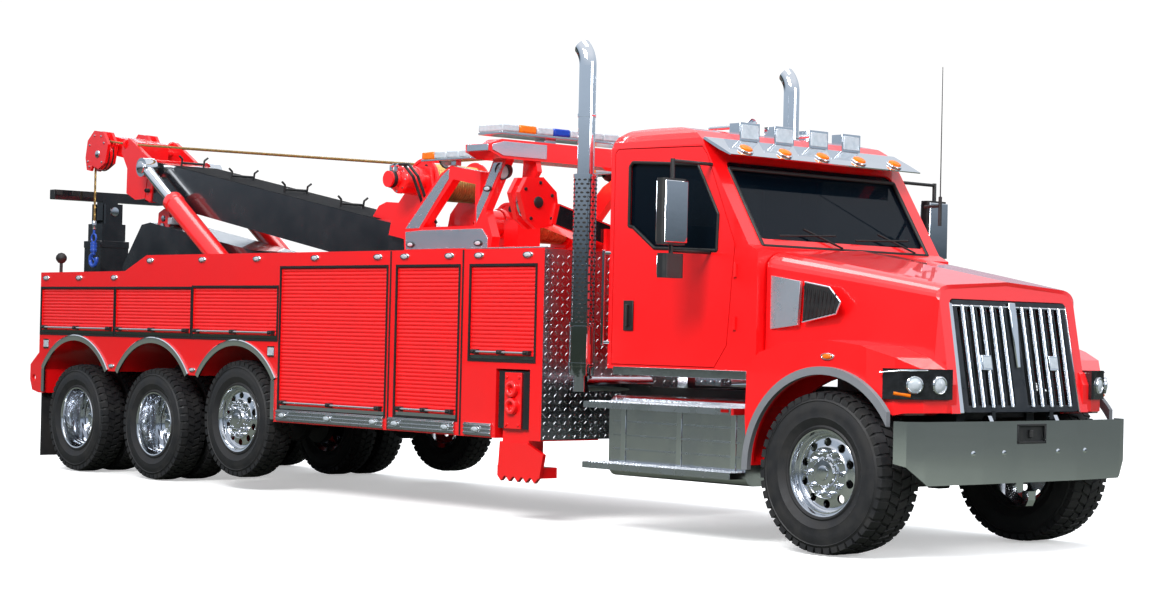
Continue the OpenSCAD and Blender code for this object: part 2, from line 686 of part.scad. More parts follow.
module boom_outer() color("#17181a") from_axle() on_boom() {
    difference() {
        block([-220, boom_l], [-boom_w / 2, boom_w / 2], [-boom_h / 2, boom_h / 2]);
        block([300, boom_l + 10], [-boom_w / 2 + boom_wall, boom_w / 2 - boom_wall],
              [-boom_h / 2 + boom_wall, boom_h / 2 - boom_wall]);
        bar_y(0, [-400, 400], 0, 61);
    }
    // Trunnions for the lift rods' eyes
    both() bar_y(lift_pin[0], [boom_w / 2 - 1, boom_w / 2 + 30], lift_pin[1], 55);
}

inner_w = boom_w - 2 * boom_wall - 2 * boom_gap;
inner_h = boom_h - 2 * boom_wall - 2 * boom_gap;
module boom_inner() color("#17181a") from_axle() on_boom() difference() {
    union() {
        block([2600, boom_l + 420], [-inner_w / 2, inner_w / 2], [-inner_h / 2, inner_h / 2]);
        // Wear pads at the hidden end
        block([2600, 2720], [-120, 120], [-inner_h / 2 - boom_gap + eps, inner_h / 2 + boom_gap - eps]);
    }
    block([2500, boom_l + 380], [-inner_w / 2 + 20, inner_w / 2 - 20],
          [-inner_h / 2 + 20, inner_h / 2 - 20]);
}

head_y = 262;
module boom_head() color("#e01f26") from_axle() on_boom() {
    // Cheek plates on the inner boom's end
    both() side_plate(inner_w / 2 + eps, inner_w / 2 + 40) polygon([
        [boom_l + 25, -190], [boom_l + 200, -230], [boom_l + 380, -190], [boom_l + 420, 60],
        [boom_l + 560, 200], [boom_l + 560, 330], [boom_l + 430, 360], [boom_l + 25, 215]]);
    // Roller frame from the cheeks to the sheaves
    block([boom_l + 420 + eps, boom_l + 900], [-180, 180], [140, 330]);
    for (s = [boom_l + 470, boom_l + 850]) bar_y(s, [-inner_w / 2 - eps, inner_w / 2 + eps], 250, 40);
    // Sheave cheeks that turn down over the rope
    both() {
        for (y = [head_y - 62, head_y + 32]) side_plate(y, y + 30) polygon([
            [boom_l + 800, 60], [boom_l + 780, 260], [boom_l + 900, 370], [boom_l + 1080, 360],
            [boom_l + 1190, 240], [boom_l + 1195, 60], [boom_l + 1140, -60], [boom_l + 1060, -60],
            [boom_l + 1040, 0], [boom_l + 920, -20]]);
        bar_y(boom_l + 960, [head_y - 62, head_y + 62], 130, 50);
        bar_y(boom_l + 960, [head_y - 32 + 2, head_y + 32 - 2], 130, 165);
    }
}

module winch_upper() color("#e01f26") from_axle() on_boom() {
    base = boom_h / 2;
    both() side_plate(300, 340) polygon([[150, base - 100], [720, base - 100], [700, base + 120],
        [520, 560], [400, 760], [280, 760], [170, 500]]);
    both() block([200, 650], [boom_w / 2 + eps, 300], [base - 100, base - 60]);
    translate([400, 0, 620]) {
        drum(540, 195);
        both() bar_y(0, [290, 300 + eps], 0, 70);
        bar_y(0, [-560, -340 - eps], 0, 115);
        bar_y(0, [-680, -560], 0, 70);
    }
    // Curved brackets on the boom's top
    both() side_plate(180, 210) polygon([[760, base + eps], [1150, base + eps], [1080, base + 110],
        [980, base + 160], [800, base + 180]]);
    block([760, 1150], [-180, 180], [base + eps, base + 20]);
}

rope_x = -10915;
rope_top = 2960;
module hook() color("#1f56c8") from_axle() translate([rope_x, -head_y, 0]) {
    // Ferrule, swivel and hook below the rope's end
    translate([0, 0, 2400]) cylinder(h = 90, r = 18);
    translate([0, 0, 2310]) rotate([90, 0, 0]) rotate_extrude() translate([45, 0]) circle(r = 10, $fn = 16);
    translate([0, 0, 2355 - 1]) cylinder(h = 47, r = 12);
    translate([0, 0, 2170]) cylinder(h = 95, r = 34);
    translate([0, 0, 2264]) cylinder(h = 12, r = 20);
    translate([0, 0, 2085]) rotate([90, 0, 0]) rotate_extrude(angle = 290, start = 90)
        translate([62, 0]) circle(r = 20, $fn = 20);
    translate([0, 0, 2140]) cylinder(h = 31, r = 22);
}

// ---------- lift cylinders ----------
cylinder_y = 400;
pin_at = [boom_pivot[0] - lift_pin[0] * cos(boom_tilt) + lift_pin[1] * sin(boom_tilt),
          boom_pivot[1] + lift_pin[0] * sin(boom_tilt) + lift_pin[1] * cos(boom_tilt)];
lift_reach = norm(pin_at - lift_base);
lift_angle = atan2(pin_at[1] - lift_base[1], lift_base[0] - pin_at[0]);
barrel_l = 2260;

module on_lift() translate([lift_base[0], 0, lift_base[1]]) rotate([0, lift_angle, 0])
    mirror([1, 0, 0]) children();

module lift_barrels() color("#e01f26") from_axle() both() on_lift() {
    difference() {
        union() {
            bar_x([0, barrel_l], -cylinder_y, 0, barrel_d / 2);
            bar_y(0, [-cylinder_y - barrel_d / 2, -cylinder_y + barrel_d / 2], 0, 100);
        }
        bar_x([200, barrel_l + 10], -cylinder_y, 0, rod_d / 2 + eps);
    }
}

module lift_rods() color("#dfe3e8") from_axle() both() on_lift() {
    bar_x([barrel_l - 1300, lift_reach - 1], -cylinder_y, 0, rod_d / 2);
    bar_y(lift_reach, [-cylinder_y - 50, -boom_w / 2 - 36], 0, 95);
}

// ---------- rear mast and underlift ----------
module rear_mast() color("#17181a") from_axle() {
    side_plate(-285, 285) polygon([[-10300, 560], [-10300, 2020], [-9960, 2430], [-9800, 2450],
        [-8020, 2150], [-7600, 1950], [-7600, deck_top + eps], [-9720, deck_top + eps],
        [-9720, 560]]);
    // Ears that carry the underlift's fold pin
    both() difference() {
        side_plate(arm_side / 2 + 10, arm_side / 2 + 60) union() {
            polygon([[-10299, 480], [-10299, 900], [-10700, 860], [fold_pivot[0], 800],
                [fold_pivot[0], 500]]);
            translate(fold_pivot) circle(r = 150);
        }
        bar_y(fold_pivot[0], [0, 400], fold_pivot[1], 56);
    }
    // Fairlead sheave at the top
    bar_y(-9860, [-60, 60], 2500, 70);
    block([-9960, -9760], [-90, 90], [2420, 2470]);
    // Base brackets of the lift barrels, beside the mast
    both() {
        block([lift_base[0] - 130, lift_base[0] + 130], [cylinder_y + barrel_d / 2 + 6, 560],
              [deck_top + eps, lift_base[1] + 110]);
        bar_y(lift_base[0], [cylinder_y + barrel_d / 2 + eps, 520], lift_base[1], 50);
    }
}

module underlift_arm() color("#17181a") from_axle() translate([fold_pivot[0], 0, fold_pivot[1]]) {
    h = arm_side / 2;
    difference() {
        union() {
            block([-h, h], [-h, h], [0, 1640]);
            bar_y(0, [-h, h], 0, h);
        }
        block([-h + 20, h - 20], [-h + 20, h - 20], [200, 1650]);
    }
    bar_y(0, [-h - 60, h + 60], 0, 55);
}

module stinger() color("#17181a") from_axle() translate([fold_pivot[0], 0, fold_pivot[1]]) {
    h = min(stinger_side, arm_side - 45) / 2;
    block([-h, h], [-h, h], [500, 1820]);
    // Wear pads inside the arm
    pad = arm_side / 2 - 20 - eps;
    block([-pad, pad], [-60, 60], [500, 580]);
    // Fork that holds the crossbar's pivot plate
    for (x = [-h, h - 40]) block([x, x + 40], [-100, 100], [1819, 2030]);
    bar_x([-h, h], 0, 1950, 36);
}

pivot_h = 1950;
module crossbar() color("#17181a") from_axle() translate([fold_pivot[0], 0, fold_pivot[1]]) {
    difference() {
        cross_plate(-60, 60) polygon([[-90, pivot_h - 90], [90, pivot_h - 90], [90, pivot_h + 110],
            [-90, pivot_h + 110]]);
        bar_x([-100, 100], 0, pivot_h, 37);
    }
    block([-52, 52], [-crossbar_l / 2, crossbar_l / 2], [pivot_h + 100, pivot_h + 200]);
}

// ---------- outriggers and side puller ----------
beam_z = [880, 1040];
beam_x = [pocket_x[0] + 105, pocket_x[0] + 265];
module outrigger_beam(side) color("#17181a") from_axle() on_side(side) {
    block(beam_x, [-half_body + 214, -rail_spread / 2 - 10], beam_z);
    // Leg housing at the beam's end
    difference() {
        block([pocket_x[0] + 20, pocket_x[1] - 20], [-half_body + 15, -half_body + 215], [700, 1135]);
        block([pocket_x[0] + 45, pocket_x[1] - 45], [-half_body + 40, -half_body + 190],
              [690, 1110]);
    }
}

module outrigger_foot(side) color("#e01f26") from_axle() on_side(side) {
    x = [pocket_x[0] + 45 + eps, pocket_x[1] - 45 - eps];
    y = [-half_body + 40 + eps, -half_body + 190 - eps];
    block(x, y, [420, 1100]);
    // Spade with teeth along its lower edge
    side_plate(y[0] - 30, y[0]) union() {
        polygon([[x[0] - 20, 340], [x[1] + 160, 340], [x[1] + 200, 520], [x[1], 600], [x[0], 600]]);
        for (i = [0:4]) translate([x[0] - 20 + i * 96, 341]) polygon([[0, 0], [42, -40], [84, 0]]);
    }
    block([x[0] - 20, x[1] + 160], [y[0] - 30, y[1]], [340, 421]);
}

puller_x = -3100;
puller_pivot = [-330, 2190];
module side_puller() color("#e01f26") from_axle() translate([puller_x, puller_pivot[0], puller_pivot[1]])
    rotate([-14, 0, 0]) {
    difference() {
        union() {
            block([-95, 95], [-640, 40], [-85, 85]);
            for (x = [-75, 30]) translate([x, 0, 0]) cross_plate(0, 45) polygon([[-1000, 60],
                [-960, 190], [-800, 240], [-640, 170], [-600, 80], [-600, -85], [-760, -160],
                [-880, -120]]);
        }
        bar_x([-200, 200], 0, 0, 31);
    }
    bar_x([-29, 29], -800, 40, 130);
    bar_x([-31, 31], -800, 40, 30);
}

// Sleeve from the rail through the locker's inner wall, with the beam's sliding fit
module outrigger_sleeve() difference() {
    block([beam_x[0] - 20, beam_x[1] + 20], [rail_spread / 2 + eps, half_body - 225],
          [beam_z[0] - 20, beam_z[1] + 20]);
    block([beam_x[0] - eps, beam_x[1] + eps], [0, half_body],
          [beam_z[0] - eps, beam_z[1] + eps]);
}

module side_puller_bracket() {
    for (x = [puller_x - 95 - 35, puller_x + 95 + 5])
        block([x, x + 30], [-430, -230], [body_top - 1, puller_pivot[1] + 60]);
    bar_x([puller_x - 130, puller_x + 130], puller_pivot[0], puller_pivot[1], 30);
}

frame_rails();
front_suspension();
rear_axles();
rear_suspension();
powertrain();
bumper();
exhaust_stacks();
tanks_and_steps();
cab_shell();
cab_glass();
cab_interior();
roof_trim();
body_right();
body_left();
body_deck();
shutters();
mudflaps();
pylon();
light_bars();
rear_mast();
boom_pedestal();
winch_lower();
hood();
grille();
headlamps();
fender_flares();
boom_outer();
winch_upper();
boom_inner();
boom_head();
hook();
lift_barrels();
lift_rods();
underlift_arm();
stinger();
crossbar();
side_puller();
for (side = SIDES) {
    door(side);
    door_glass(side);
    mirror_unit(side);
    outrigger_beam(side);
    outrigger_foot(side);
    knuckle(side);
    for (set = AXLE_SETS)
        wheel(set, side);
}
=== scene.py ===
import math

import bmesh
import bpy
from mathutils import Matrix, Vector


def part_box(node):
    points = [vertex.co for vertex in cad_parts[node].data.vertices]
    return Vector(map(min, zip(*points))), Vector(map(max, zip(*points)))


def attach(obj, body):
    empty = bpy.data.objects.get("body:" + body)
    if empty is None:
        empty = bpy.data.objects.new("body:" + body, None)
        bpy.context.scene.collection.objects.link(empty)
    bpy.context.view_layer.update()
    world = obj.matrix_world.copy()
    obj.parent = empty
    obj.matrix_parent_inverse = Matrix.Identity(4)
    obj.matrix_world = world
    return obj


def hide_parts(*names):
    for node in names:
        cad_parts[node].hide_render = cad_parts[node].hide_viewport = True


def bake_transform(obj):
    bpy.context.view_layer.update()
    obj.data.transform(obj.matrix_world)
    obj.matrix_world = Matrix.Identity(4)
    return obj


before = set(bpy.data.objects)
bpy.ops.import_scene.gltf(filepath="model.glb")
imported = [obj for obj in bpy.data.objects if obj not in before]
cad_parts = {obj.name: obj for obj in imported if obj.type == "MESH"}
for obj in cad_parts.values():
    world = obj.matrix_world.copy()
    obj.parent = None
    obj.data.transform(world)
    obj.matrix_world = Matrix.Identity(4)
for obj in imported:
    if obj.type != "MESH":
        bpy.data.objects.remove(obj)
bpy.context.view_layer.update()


# ---------------------------------------------------------------------------
# Camera. A three-quarter view of the front and the right side, from just
# below hood height, held almost level.
camera = bpy.data.objects.new("camera", bpy.data.cameras.new("camera"))
bpy.context.collection.objects.link(camera)
camera.data.lens = 71.3
camera.data.sensor_width = 36.0
camera.data.clip_end = 200.0
camera.matrix_world = (
    Matrix.Translation((15.282, -12.672, 1.426))
    @ Matrix.Rotation(math.radians(47.386), 4, "Z")
    @ Matrix.Rotation(math.radians(90.764), 4, "X")
    @ Matrix.Rotation(math.radians(1.272), 4, "Z")
)
bpy.context.scene.camera = camera
bpy.context.scene.view_settings.view_transform = "Standard"
bpy.context.scene.view_settings.look = "None"


# ---------------------------------------------------------------------------
# Floor and light. A pale seamless floor under a white sweep, with large soft
# boxes overhead and to the sides so that the bright metal has dark and light
# to show.
def shade(code):
    """The linear colour of an sRGB hex code, as a shader socket takes it."""
    parts = [int(code[i : i + 2], 16) / 255 for i in (1, 3, 5)]
    return [c / 12.92 if c <= 0.04045 else ((c + 0.055) / 1.055) ** 2.4 for c in parts] + [1.0]


def add_node(tree, kind, values=None, links=None, **settings):
    """One node, with its settings, its socket values and what feeds it."""
    node = tree.nodes.new(kind)
    for name, value in settings.items():
        setattr(node, name, value)
    for socket, value in (values or {}).items():
        node.inputs[socket].default_value = value
    for socket, source in (links or {}).items():
        tree.links.new(source, node.inputs[socket])
    return node


def finish(name, colour, metallic=0.0, roughness=0.5, **sockets):
    """A new material with the constants set on its shader's own sockets."""
    material = bpy.data.materials.new(name)
    material.use_nodes = True
    shader = material.node_tree.nodes["Principled BSDF"]
    shader.inputs["Base Color"].default_value = shade(colour)
    shader.inputs["Metallic"].default_value = metallic
    shader.inputs["Roughness"].default_value = roughness
    for socket, value in sockets.items():
        shader.inputs[socket.replace("_", " ")].default_value = value
    material.diffuse_color = shade(colour)
    return material


def grained(material, size, relief, rough=None, tint=None, tint_share=0.3, patch=0.4):
    """Gives a finish its fine relief, roughness that varies in patches, and dust or wear.

    size is the grain's spacing and relief its height, in metres. rough is the lowest and
    highest roughness. tint is the hex colour that patches about patch metres across lean to.
    """
    tree = material.node_tree
    shader = tree.nodes["Principled BSDF"]
    place = add_node(tree, "ShaderNodeTexCoord").outputs["Object"]
    fine = add_node(tree, "ShaderNodeTexNoise", {"Scale": 1 / size, "Detail": 3.0},
                    {"Vector": place})
    bump = add_node(tree, "ShaderNodeBump", {"Strength": 1.0, "Distance": relief},
                    {"Height": fine.outputs[0]})
    tree.links.new(bump.outputs["Normal"], shader.inputs["Normal"])
    cloud = add_node(tree, "ShaderNodeTexNoise", {"Scale": 1 / patch, "Detail": 6.0,
                     "Roughness": 0.62}, {"Vector": place})
    if rough:
        spread = add_node(tree, "ShaderNodeMapRange", {"From Min": 0.3, "From Max": 0.7,
                          "To Min": rough[0], "To Max": rough[1]}, {"Value": cloud.outputs[0]})
        tree.links.new(spread.outputs[0], shader.inputs["Roughness"])
    if tint:
        share = add_node(tree, "ShaderNodeMapRange", {"From Min": 0.42, "From Max": 0.75,
                         "To Min": 0.0, "To Max": tint_share}, {"Value": cloud.outputs[0]})
        mix = add_node(tree, "ShaderNodeMix", {6: shader.inputs["Base Color"].default_value[:],
                       7: shade(tint)}, {0: share.outputs[0]}, data_type="RGBA")
        tree.links.new(mix.outputs[2], shader.inputs["Base Color"])
    return material


# Matt studio floor vinyl: off-white, with only a faint mottle.
floor_vinyl = grained(finish("floor_vinyl", "#F4F4F3", roughness=0.75,
                             Emission_Color=shade("#FFFFFF")), 0.02, 0.0002,
                      (0.7, 0.85), "#ECECEA", 0.3, 3.0)
floor_tree = floor_vinyl.node_tree
direct = add_node(floor_tree, "ShaderNodeLightPath")
lift = add_node(floor_tree, "ShaderNodeMath", {1: 0.42},
                {0: direct.outputs["Is Camera Ray"]}, operation="MULTIPLY")
floor_tree.links.new(lift.outputs[0],
                     floor_tree.nodes["Principled BSDF"].inputs["Emission Strength"])
# The metal mirrors a darker floor than the one that is seen, as it would mirror tarmac
floor_tone = add_node(floor_tree, "ShaderNodeMix", {6: shade("#4F5548"), 7: shade("#F4F4F3")},
                      {0: direct.outputs["Is Camera Ray"]}, data_type="RGBA")
floor_tree.links.new(floor_tone.outputs[2],
                     floor_tree.nodes["Principled BSDF"].inputs["Base Color"])
floor_shape = bmesh.new()
bmesh.ops.create_grid(floor_shape, x_segments=8, y_segments=8, size=60.0)
floor_mesh = bpy.data.meshes.new("floor")
floor_shape.to_mesh(floor_mesh)
floor_mesh.materials.append(floor_vinyl)
floor = bpy.data.objects.new("floor", floor_mesh)
bpy.context.collection.objects.link(floor)

sweep = bpy.data.worlds.new("sweep")
bpy.context.scene.world = sweep
sweep.use_nodes = True
sky = sweep.node_tree
sky_dome = sky.nodes["Background"]
sky_up = add_node(sky, "ShaderNodeSeparateXYZ",
                  links={"Vector": add_node(sky, "ShaderNodeTexCoord").outputs["Generated"]})
sky_ramp = add_node(sky, "ShaderNodeValToRGB", links={"Fac": sky_up.outputs["Z"]})
for stop, tone in zip((0, 1), ("#333A33", "#F4F8FF")):
    sky_ramp.color_ramp.elements[stop].color = shade(tone)
sky_ramp.color_ramp.elements[0].position = 0.0
sky_ramp.color_ramp.elements[1].position = 0.62
low_band = sky_ramp.color_ramp.elements.new(0.035)
low_band.color = shade("#4A545C")
bright_band = sky_ramp.color_ramp.elements.new(0.10)
bright_band.color = shade("#BCCADA")
seen = add_node(sky, "ShaderNodeLightPath")
backdrop = add_node(sky, "ShaderNodeMix", {7: (1.15, 1.15, 1.15, 1.0)},
                    {0: seen.outputs["Is Camera Ray"], 6: sky_ramp.outputs[0]}, data_type="RGBA")
sky.links.new(backdrop.outputs[2], sky_dome.inputs["Color"])
sky_dome.inputs["Strength"].default_value = 0.92


def soft_box(name, place, target, size, watts):
    """A large soft light that looks at a point."""
    lamp = bpy.data.lights.new(name, "AREA")
    lamp.shape = "RECTANGLE"
    lamp.size, lamp.size_y = size
    lamp.energy = watts
    holder = bpy.data.objects.new(name, lamp)
    bpy.context.collection.objects.link(holder)
    holder.location = place
    holder.rotation_euler = (Vector(target) - Vector(place)).to_track_quat("-Z", "Y").to_euler()


soft_box("key_light", (9.0, -15.0, 13.0), (0.5, 0.0, 1.2), (9.0, 6.0), 4400.0)
soft_box("top_light", (0.0, 0.0, 15.0), (0.0, 0.0, 0.0), (16.0, 7.0), 1500.0)
soft_box("nose_light", (17.0, 3.0, 6.0), (5.0, 0.0, 1.5), (6.0, 4.0), 650.0)
soft_box("back_light", (-14.0, 10.0, 9.0), (-2.0, 0.0, 1.5), (8.0, 5.0), 450.0)


# ---------------------------------------------------------------------------
# Ladder chassis. Two pressed steel rails with cross members, springs, axles
# and hubs, sprayed in satin black chassis paint that has picked up road dust.
def dress(material, *nodes):
    """Gives CAD nodes their real finish, through their own material slots."""
    for node in nodes:
        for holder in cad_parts[node].material_slots:
            holder.material = material


chassis_paint = grained(finish("satin_chassis_paint", "#141516", roughness=0.42), 0.004, 0.00025,
                        (0.32, 0.6), "#3A3733", 0.5, 0.25)
dress(chassis_paint, "frame_rails", "front_suspension", "rear_suspension", "rear_axles",
      "knuckle_right", "knuckle_left")

# Cast iron block under grey engine enamel: a sandy skin, oily in patches.
engine_enamel = grained(finish("cast_engine_enamel", "#3C3D40", roughness=0.5), 0.003, 0.0005,
                        (0.35, 0.7), "#26241F", 0.6, 0.15)
dress(engine_enamel, "powertrain")


# ---------------------------------------------------------------------------
# Wheels. Radial truck tyres of black tread rubber on forged alloy wheels that
# were polished bright: wide singles in front, a single pusher, twins behind.
# Places here and below are measured from the steer axle: X forward, Y to the
# truck's left and Z up from the ground, in metres.
steer_low, steer_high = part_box("wheel_steer_right")
axle_x = (steer_low.x + steer_high.x) / 2


def spot(x, y, z):
    """A point measured from the steer axle."""
    return Vector((axle_x + x, y, z))


def rod(bm, start, end, radius, sides=16, end_radius=None):
    """A round bar between two points, tapered if end_radius is given."""
    start, end = spot(*start), spot(*end)
    line = end - start
    place = (Matrix.Translation((start + end) / 2)
             @ line.to_track_quat("Z", "Y").to_matrix().to_4x4())
    return bmesh.ops.create_cone(
        bm, cap_ends=True, segments=sides, radius1=radius,
        radius2=radius if end_radius is None else end_radius, depth=line.length, matrix=place)


def turned(bm, profile, centre, axis, steps=48, arc=360.0, out=None):
    """A lathe shape: points of (radius, distance along axis), spun about the axis at centre."""
    centre, axis = spot(*centre), Vector(axis).normalized()
    out = Vector(out) if out else axis.orthogonal().normalized()
    ring = [bm.verts.new(centre + out * max(r, 0.00001) + axis * d) for r, d in profile]
    edges = [bm.edges.new(pair) for pair in zip(ring, ring[1:])]
    bmesh.ops.spin(bm, geom=ring + edges, cent=centre, axis=axis, angle=math.radians(arc),
                   steps=steps, use_merge=arc == 360.0)


def fitted(name, bm, material, body, edge=0.0, smooth=True, stands_for=()):
    """Finishes a shape: merged, facing outwards, its edges rounded, on its body."""
    bmesh.ops.remove_doubles(bm, verts=bm.verts, dist=0.00002)
    bmesh.ops.recalc_face_normals(bm, faces=bm.faces)
    mesh = bpy.data.meshes.new(name)
    bm.to_mesh(mesh)
    bm.free()
    mesh.materials.append(material)
    piece = bpy.data.objects.new(name, mesh)
    bpy.context.collection.objects.link(piece)
    if edge:
        rounding = piece.modifiers.new("rounded_edges", "BEVEL")
        rounding.width, rounding.segments = edge, 2
        rounding.limit_method, rounding.angle_limit = "ANGLE", math.radians(40)
    if smooth:
        mesh.shade_smooth()
        mesh.set_sharp_from_angle(angle=math.radians(35))
    if stands_for:
        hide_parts(*stands_for)
    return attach(piece, body) if body else piece


tyre_rubber = grained(finish("tread_rubber", "#17171A", roughness=0.62), 0.0025, 0.0003,
                      (0.5, 0.78), "#3B3833", 0.35, 0.12)
polished_alloy = grained(finish("polished_alloy", "#DCDFE4", metallic=1.0, roughness=0.13),
                         0.02, 0.00005, (0.07, 0.2), "#B9BDC4", 0.5, 0.2)
bright_chrome = grained(finish("bright_chrome", "#E9EDF2", metallic=1.0, roughness=0.04),
                        0.2, 0.0002, (0.02, 0.08), "#CFD6DE", 0.3, 0.5)
bead_radius = 0.286
hand_hole_circle, stud_circle = 0.205, 0.143


def tyre_shape(bm, centre, radius, width, lugs):
    """Carcass, sidewall rings, and tread in two shoulder rows and two centre rows."""
    half = width / 2
    wall = [(bead_radius, half - 0.05), (bead_radius + 0.006, half - 0.026),
            (bead_radius + 0.018, half - 0.022), (bead_radius + 0.03, half - 0.03),
            (bead_radius + 0.075, half - 0.008), (bead_radius + 0.082, half - 0.004),
            (bead_radius + 0.088, half - 0.006), (bead_radius + 0.125, half - 0.001),
            (radius - 0.1, half - 0.003), (radius - 0.072, half - 0.009),
            (radius - 0.066, half - 0.004), (radius - 0.058, half - 0.012),
            (radius - 0.03, half - 0.026), (radius - 0.014, half - 0.05)]
    crown = [(radius - 0.0135, half * 0.4)]
    side = wall + crown
    turned(bm, side + [(r, -d) for r, d in reversed(side)], centre, (0, 1, 0), 72)
    middle = spot(*centre)
    for row, (low, high, share) in enumerate([
            (-half + 0.012, -half * 0.5, 0.66), (-half * 0.44, -half * 0.03, 0.74),
            (half * 0.03, half * 0.44, 0.74), (half * 0.5, half - 0.012, 0.66)]):
        shoulder = row in (0, 3)
        for step in range(lugs):
            angle = (step + (0.5 if row % 2 else 0.0)) * 2 * math.pi / lugs
            pitch = 2 * math.pi * radius / lugs
            made = bmesh.ops.create_cube(bm, size=1.0, matrix=Matrix.Diagonal(
                (pitch * share, high - low, 0.02, 1.0)))
            for v in made["verts"]:
                if v.co.z > 0:
                    v.co.x *= 0.9
                if shoulder and (v.co.y > 0) == (row == 3):
                    v.co.z -= 0.012 if v.co.z > 0 else 0.03
                    v.co.x *= 1.12
                v.co.x += (0.35 if row in (1, 2) else 0.0) * v.co.y * (1 if row == 1 else -1)
            bmesh.ops.transform(
                bm, verts=made["verts"],
                matrix=Matrix.Translation(middle) @ Matrix.Rotation(angle, 4, "Y")
                @ Matrix.Translation((0, (low + high) / 2, radius - 0.0125)))


def alloy_shape(bm, centre, out, lip, disc, dished):
    """Wheel with its lip at lip and its disc at disc from the tyre's middle, towards out."""
    inner = bead_radius - 0.004
    fall = max(lip - disc - 0.02, 0.01)
    turned(bm, [
        (inner - 0.03, -lip + 0.02), (inner + 0.008, -lip), (inner + 0.009, -lip + 0.008),
        (inner - 0.004, -lip + 0.014), (inner - 0.004, lip - 0.016), (inner + 0.006, lip - 0.008),
        (inner + 0.012, lip + 0.004), (inner + 0.008, lip + 0.012), (inner - 0.002, lip + 0.009),
        (inner - 0.008, lip - 0.006), (inner - 0.012, lip - 0.03 * min(1, fall / 0.05)),
        (inner - 0.02, lip - fall * 0.6), (inner - 0.024, disc + 0.012),
        (inner - 0.03, -lip + 0.02)], centre, (0, out, 0), 64)
    holes = bmesh.new()
    for step in range(10):
        angle = math.radians(36 * step + 18)
        x, z = hand_hole_circle * math.cos(angle), hand_hole_circle * math.sin(angle)
        rod(holes, (centre[0] + x, centre[1] + out * (disc - 0.08), centre[2] + z),
            (centre[0] + x, centre[1] + out * (disc + 0.08), centre[2] + z), 0.029, 20)
    web = bmesh.new()
    turned(web, [
        (inner - 0.022, disc + 0.004), (inner - 0.034, disc - 0.002), (0.238, disc + 0.006),
        (0.222, disc + 0.011), (0.186, disc + 0.012), (0.172, disc + 0.016),
        (0.167, disc + 0.02), (0.108, disc + 0.022), (0.0, disc + 0.022),
        (0.0, disc - 0.004), (0.17, disc - 0.006), (0.24, disc - 0.014),
        (inner - 0.02, disc - 0.016), (inner - 0.022, disc + 0.004)],
        centre, (0, out, 0), 64)
    pierced(bm, web, holes)
    for step in range(10):
        angle = math.radians(36 * step)
        stud = (centre[0] + stud_circle * math.cos(angle), centre[1],
                centre[2] + stud_circle * math.sin(angle))
        turned(bm, [(0.0235, disc + 0.02), (0.0235, disc + 0.026), (0.019, disc + 0.03),
                    (0.018, disc + 0.062), (0.013, disc + 0.072), (0.0, disc + 0.074)],
               stud, (0, out, 0), 12)
    hub = 0.055 if not dished else 0.105
    turned(bm, [(0.112, disc + 0.02), (0.112, disc + 0.026), (0.1, disc + 0.03),
                (0.095, disc + hub - 0.012), (0.084, disc + hub), (0.05, disc + hub + 0.002),
                (0.046, disc + hub + 0.012), (0.03, disc + hub + 0.014), (0.0, disc + hub + 0.014)],
           centre, (0, out, 0), 40)


def pierced(bm, solid, cutters):
    """Adds solid to bm with the cutters taken out of it."""
    pair = []
    for shape in (solid, cutters):
        bmesh.ops.remove_doubles(shape, verts=shape.verts, dist=0.00002)
        bmesh.ops.recalc_face_normals(shape, faces=shape.faces)
        mesh = bpy.data.meshes.new("blank")
        shape.to_mesh(mesh)
        shape.free()
        blank = bpy.data.objects.new("blank", mesh)
        bpy.context.collection.objects.link(blank)
        pair.append(blank)
    cut = pair[0].modifiers.new("cut", "BOOLEAN")
    cut.object, cut.operation, cut.solver = pair[1], "DIFFERENCE", "EXACT"
    bpy.context.view_layer.update()
    done = bpy.data.meshes.new_from_object(
        pair[0].evaluated_get(bpy.context.evaluated_depsgraph_get()))
    bm.from_mesh(done)
    bpy.data.meshes.remove(done)
    for blank in pair:
        mesh = blank.data
        bpy.data.objects.remove(blank)
        bpy.data.meshes.remove(mesh)


pusher_box, front_drive_box, rear_drive_box = (
    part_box(f"wheel_{name}_right") for name in ("pusher", "drive_front", "drive_rear"))
drive_radius, drive_width, twin_gap = 0.515, 0.275, 0.335
steer_radius, steer_width = (steer_high.z - steer_low.z) / 2, steer_high.y - steer_low.y
twin_track = -front_drive_box[0].y - drive_width / 2
for side, out in (("right", -1), ("left", 1)):
    for axle, box in (("steer", (steer_low, steer_high)), ("pusher", pusher_box),
                      ("drive_front", front_drive_box), ("drive_rear", rear_drive_box)):
        name = f"wheel_{axle}_{side}"
        x, z = (box[0].x + box[1].x) / 2 - axle_x, (box[0].z + box[1].z) / 2
        tyres, alloys = bmesh.new(), bmesh.new()
        if axle == "steer":
            track = -(box[0].y + box[1].y) / 2
            tyre_shape(tyres, (x, out * track, z), steer_radius, steer_width, 46)
            alloy_shape(alloys, (x, out * track, z), out, 0.15, 0.1, False)
        elif axle == "pusher":
            tyre_shape(tyres, (x, out * twin_track, z), drive_radius, drive_width, 44)
            alloy_shape(alloys, (x, out * twin_track, z), out, 0.107, 0.066, False)
        else:
            for track in (twin_track, twin_track - twin_gap):
                tyre_shape(tyres, (x, out * track, z), drive_radius, drive_width, 44)
            alloy_shape(alloys, (x, out * twin_track, z), out, 0.107, -0.14, True)
            alloy_shape(alloys, (x, out * (twin_track - twin_gap), z), out, 0.107, 0.13, False)
        fitted(f"tyre_{axle}_{side}", tyres, tyre_rubber, name, stands_for=(name,))
        fitted(f"alloy_{axle}_{side}", alloys, polished_alloy, name)


